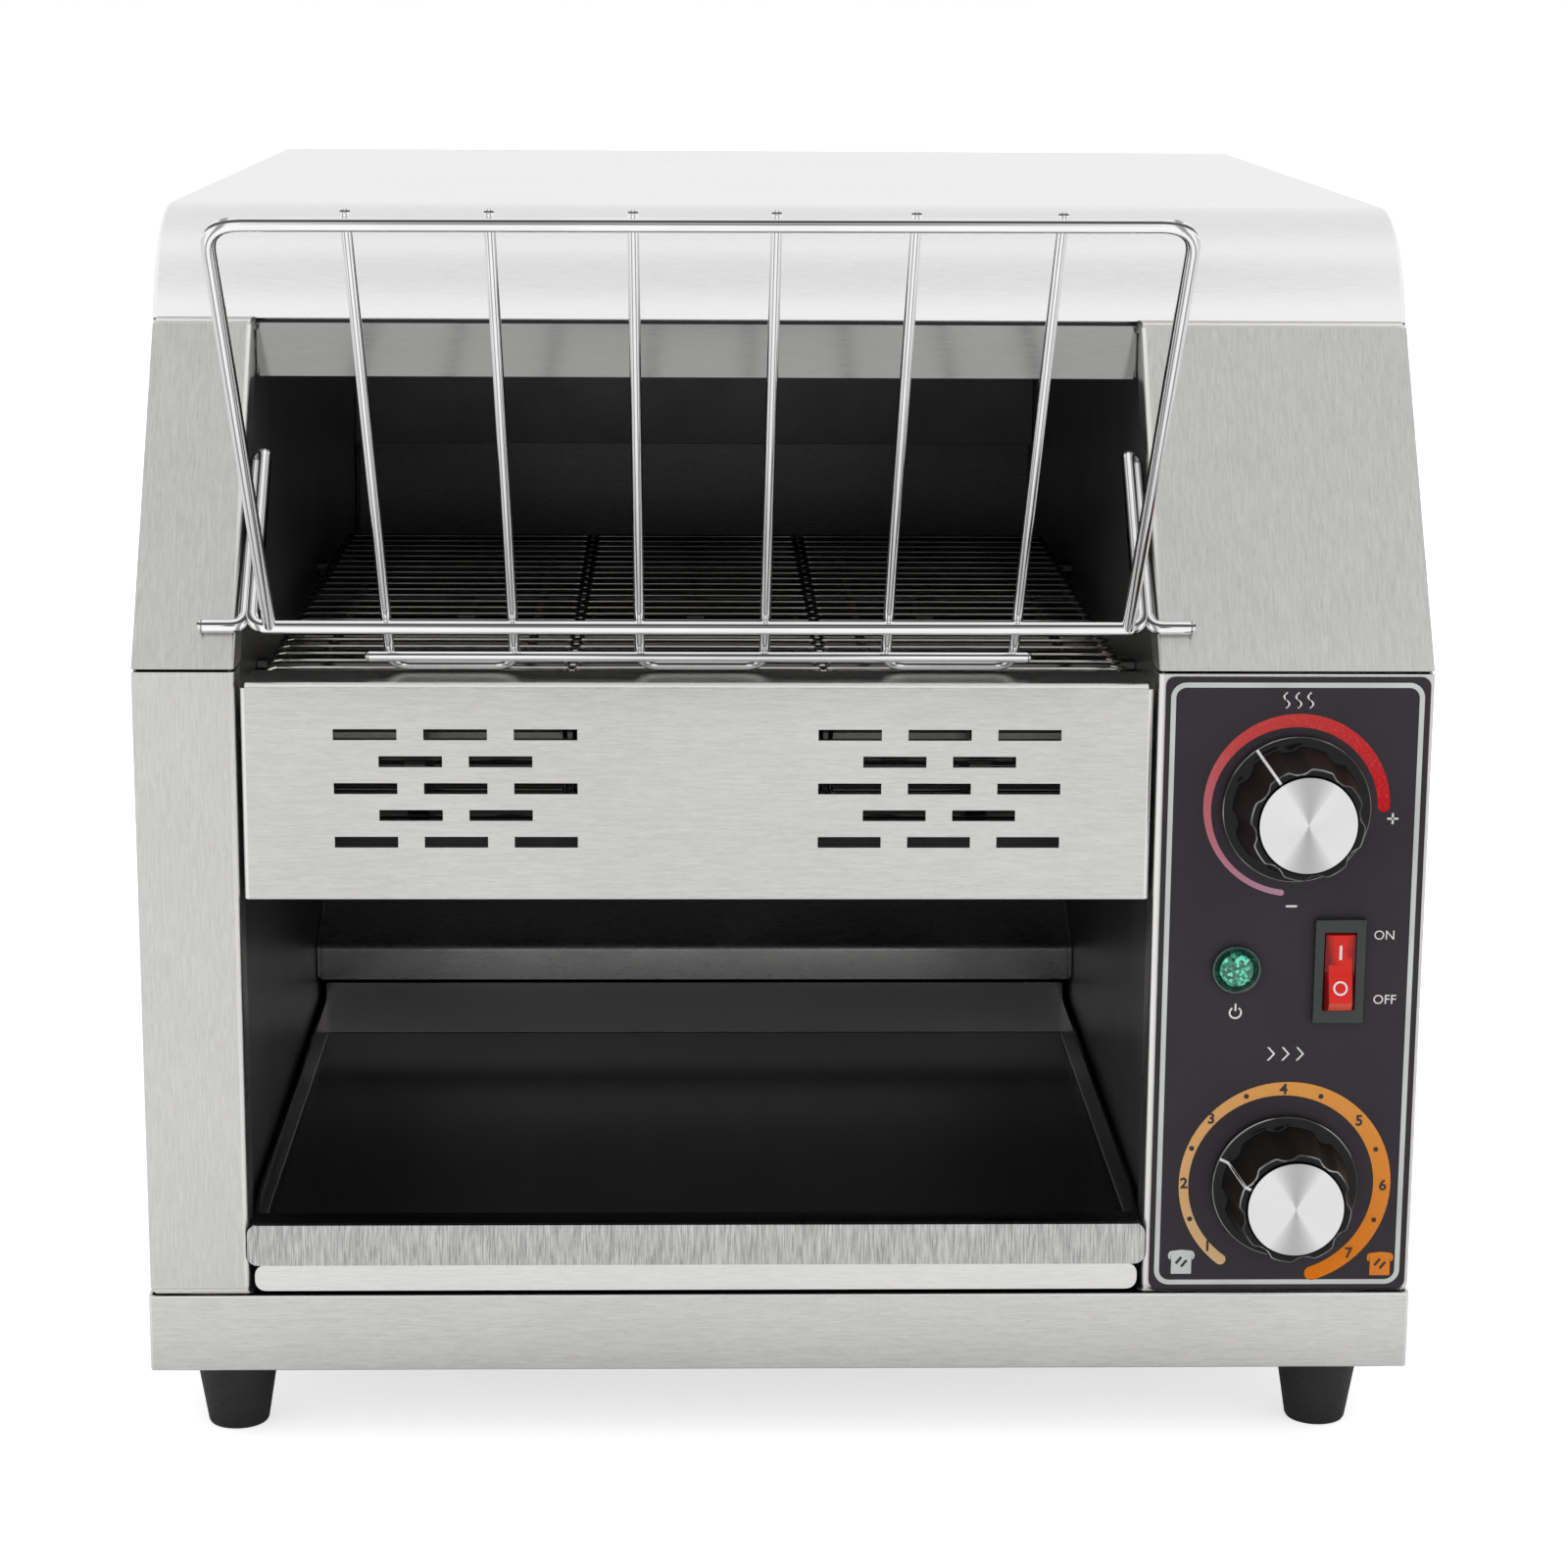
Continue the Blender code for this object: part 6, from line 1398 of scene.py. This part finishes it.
def rocker():
    """A tapered rocker with a narrower face, hollowed in the middle, and a sloped lower end."""
    stations = [(ROCKER_END, ROCKER_ROOT), (ROCKER_END, 0.0006), (0.0106, rocker_depth(ROCKER_RUN))]
    stations += [(level, rocker_depth(level)) for level in ROCKER_LEVELS]
    stations += [(-0.0089, rocker_depth(0.0095)), (-0.0110, 0.0004), (-ROCKER_END, -0.0002),
                 (-ROCKER_END, ROCKER_ROOT)]
    made = bmesh.new()
    rows = []
    for level, depth in stations:
        low = min(depth - 0.0002, level * math.tan(-ROCKER_TILT))
        half = ROCKER_TOP if depth > 0 else ROCKER_FOOT
        left = [(-ROCKER_FOOT, ROCKER_ROOT), (-ROCKER_FOOT, low), (-half, depth)]
        corners = left + [(-side, out) for side, out in left[::-1]]
        rows.append([made.verts.new((side, -out, level)) for side, out in corners])
    skin(made, rows, closed=True, ends=True)
    bmesh.ops.remove_doubles(made, verts=made.verts, dist=SAME_PLACE)
    bmesh.ops.dissolve_degenerate(made, edges=made.edges, dist=1e-7)
    bmesh.ops.transform(made, matrix=rocker_frame(), verts=made.verts)
    piece = mesh_object("rocker_key", made)
    bevel(piece, SWITCH_RIM)
    fit(settled(piece), "red", "red_plastic", "rocker", "power_rocker")


def switch_bezel():
    """The switch's frame, with the well that the rocker sits in and the case behind the panel."""
    x, z = SWITCH
    rows = []
    for half_width, half_height, out in BEZEL_RINGS:
        corners = bar_mark(x, z, 2 * half_width, 2 * half_height)
        rows.append([(side, PANEL_FACE - out, height) for side, height in corners])
    made = grid("switch_frame", rows, closed=True, ends=True)
    bevel(made, SWITCH_RIM)
    fit(settled(made), "bezel", "black_plastic", "chassis", "switch_housing")


def rocker_marks():
    """A line and a ring on the two halves of the tilted rocker."""
    line = [bar_mark(0, MARK_LINE_HEIGHT, *size) for size in (MARK_LINE, MARK_LINE_CORE)]
    ring = [[on_circle(0, MARK_RING_HEIGHT, radius, 15 * step) for step in range(24)]
            for radius in (MARK_RING, MARK_RING * MARK_RING_SHARE)]
    made = bmesh.new()
    for sense, outlines in ((1, line), (-1, ring)):
        slope = math.atan2(ROCKER_RISE, ROCKER_RUN) * sense
        middle = (0, -ROCKER_MIDDLE - ROCKER_RISE / 2, sense * ROCKER_RUN / 2)
        mark = band(*outlines, -0.00002)
        place = rocker_frame() @ Matrix.Translation(middle) @ Matrix.Rotation(slope, 4, "X")
        bmesh.ops.transform(mark, matrix=place, verts=mark.verts)
        temporary = bpy.data.meshes.new("mark")
        mark.to_mesh(temporary)
        mark.free()
        made.from_mesh(temporary)
        bpy.data.meshes.remove(temporary)
    fit(mesh_object("rocker_marks", made, False), "white_ink", "red_plastic", "rocker")


# Stage, light and camera

CAMERA_PLACE = (-0.0284, -1.192825, 0.4264)
CAMERA_YAW = math.radians(1.58)
CAMERA_PITCH = math.radians(12.53)
CAMERA_ROLL = math.radians(0.39)
SENSOR = 36.0
FOCAL_SHARE = 3746.6 / 1600
FLOOR_SIZE = 40.0
FLOOR_SHOWN = 0.65
FLOOR_MIRRORED = 0.30
FLOOR_DARK = (-0.25, -0.19)
WORLD_LIGHT = 0.85
ROOM_BRIGHT = 1.06
# Dark discs of the room as (direction, edge and core in degrees, brightness of the core).
ROOM_DARKS = (((0.0, -1.0, 0.20), 12, 6, 0.06), ((0.0, -0.38, 0.92), 28, 10, 0.77),
              ((0.0, 0.62, 0.78), 38, 8, 0.82), ((0.0, 0.98, 0.2), 30, 10, 0.94))
# Lamps as (name, place, size, power), all aimed at one point.
AREA_LIGHTS = (("key", (-1.1, -1.3, 1.5), (1.3, 1.3), 2.2),
               ("fill", (1.3, -1.0, 1.1), (1.0, 1.3), 1.2),
               ("top", (0, 0.1, 1.9), (2.0, 1.6), 5))
LIT_POINT = Vector((0, 0, 0.2))


def camera():
    """The camera that the reference view was taken from."""
    yaw, pitch, roll = CAMERA_YAW, CAMERA_PITCH, CAMERA_ROLL
    ahead = Vector((math.sin(yaw) * math.cos(pitch), math.cos(yaw) * math.cos(pitch), -math.sin(pitch)))
    right = Vector((math.cos(yaw), -math.sin(yaw), 0))
    up = right.cross(ahead)
    turned_right = right * math.cos(roll) + up * math.sin(roll)
    turned_up = up * math.cos(roll) - right * math.sin(roll)
    data = bpy.data.cameras.new("photo camera")
    data.sensor_width = SENSOR
    data.lens = SENSOR * FOCAL_SHARE
    data.clip_start = 0.05
    data.clip_end = 50.0
    made = new_object("photo camera", data)
    axes = Matrix((turned_right, turned_up, -ahead)).transposed().to_4x4()
    made.matrix_world = Matrix.Translation(CAMERA_PLACE) @ axes
    bpy.context.scene.camera = made


def floor():
    """A white floor, which mirrors show darker under the machine than in front of it."""
    made = bmesh.new()
    bmesh.ops.create_grid(made, x_segments=1, y_segments=1, size=FLOOR_SIZE)
    obj = mesh_object("floor", made, False, False)
    shade = Shader("floor", grey(0.80), 0.9, Specular_IOR_Level=0.0)
    rays = shade.node("ShaderNodeLightPath").outputs
    seen = shade.reckon("MAXIMUM", rays["Is Camera Ray"], rays["Is Transmission Ray"])
    seen = shade.reckon("MULTIPLY", seen, FLOOR_SHOWN)
    away = shade.span(shade.axes()[1], *FLOOR_DARK, 1.0, 0.0)
    under = shade.reckon("MULTIPLY", away, FLOOR_MIRRORED)
    mirrored = shade.reckon("MULTIPLY", rays["Is Glossy Ray"], under)
    glow = shade.node("ShaderNodeEmission", {"Strength": shade.reckon("MAXIMUM", seen, mirrored)})
    both = shade.node("ShaderNodeAddShader", {0: shade.shader.outputs[0], 1: glow.outputs[0]})
    shade.feed(shade.tree.nodes["Material Output"].inputs["Surface"], both.outputs[0])
    obj.data.materials.append(shade.material)


def world():
    """A white room; only mirrors show its dark disc in front and the faint broad ones above and behind."""
    made = bpy.data.worlds.new("studio")
    bpy.context.scene.world = made
    made.use_nodes = True
    room = Nodes(made.node_tree)
    rays = room.node("ShaderNodeLightPath").outputs
    way = room.node("ShaderNodeTexCoord").outputs["Generated"]
    shade = ROOM_BRIGHT
    for heading, edge, core, least in ROOM_DARKS:
        toward = room.node("ShaderNodeVectorMath", {0: way, 1: Vector(heading).normalized()},
                           operation="DOT_PRODUCT")
        ends = [math.cos(math.radians(angle)) for angle in (edge, core)]
        dim = room.span(toward.outputs["Value"], *ends, 1.0, least, interpolation_type="SMOOTHSTEP")
        shade = room.reckon("MULTIPLY", shade, dim)
    mirrored = room.reckon("MULTIPLY", rays["Is Glossy Ray"], shade)
    seen = room.reckon("MAXIMUM", rays["Is Camera Ray"], rays["Is Transmission Ray"])
    shown = room.reckon("MAXIMUM", seen, mirrored)
    lit = room.reckon("MULTIPLY", room.reckon("SUBTRACT", 1.0, rays["Is Glossy Ray"]), WORLD_LIGHT)
    background = made.node_tree.nodes["Background"]
    room.feed(background.inputs["Color"], (1, 1, 1, 1))
    room.feed(background.inputs["Strength"], room.reckon("MAXIMUM", shown, lit))


def lights():
    """Soft lamps that mirrors don't show."""
    for name, place, size, power in AREA_LIGHTS:
        data = bpy.data.lights.new(name, "AREA")
        data.shape = "RECTANGLE"
        data.size, data.size_y = size
        data.energy = power
        made = new_object(name, data)
        aim = (LIT_POINT - Vector(place)).to_track_quat("-Z", "Y")
        made.matrix_world = Matrix.Translation(place) @ aim.to_matrix().to_4x4()
        made.visible_glossy = False


bpy.context.scene.view_settings.view_transform = "Standard"
camera()
finish_nodes()
sheets()
hood()
hood_seal()
front_cover()
rack()
belt()
screws()
feet()
fan_guard()
gland()
knobs()
lamp()
printing()
switch_bezel()
rocker()
rocker_marks()
floor()
world()
lights()
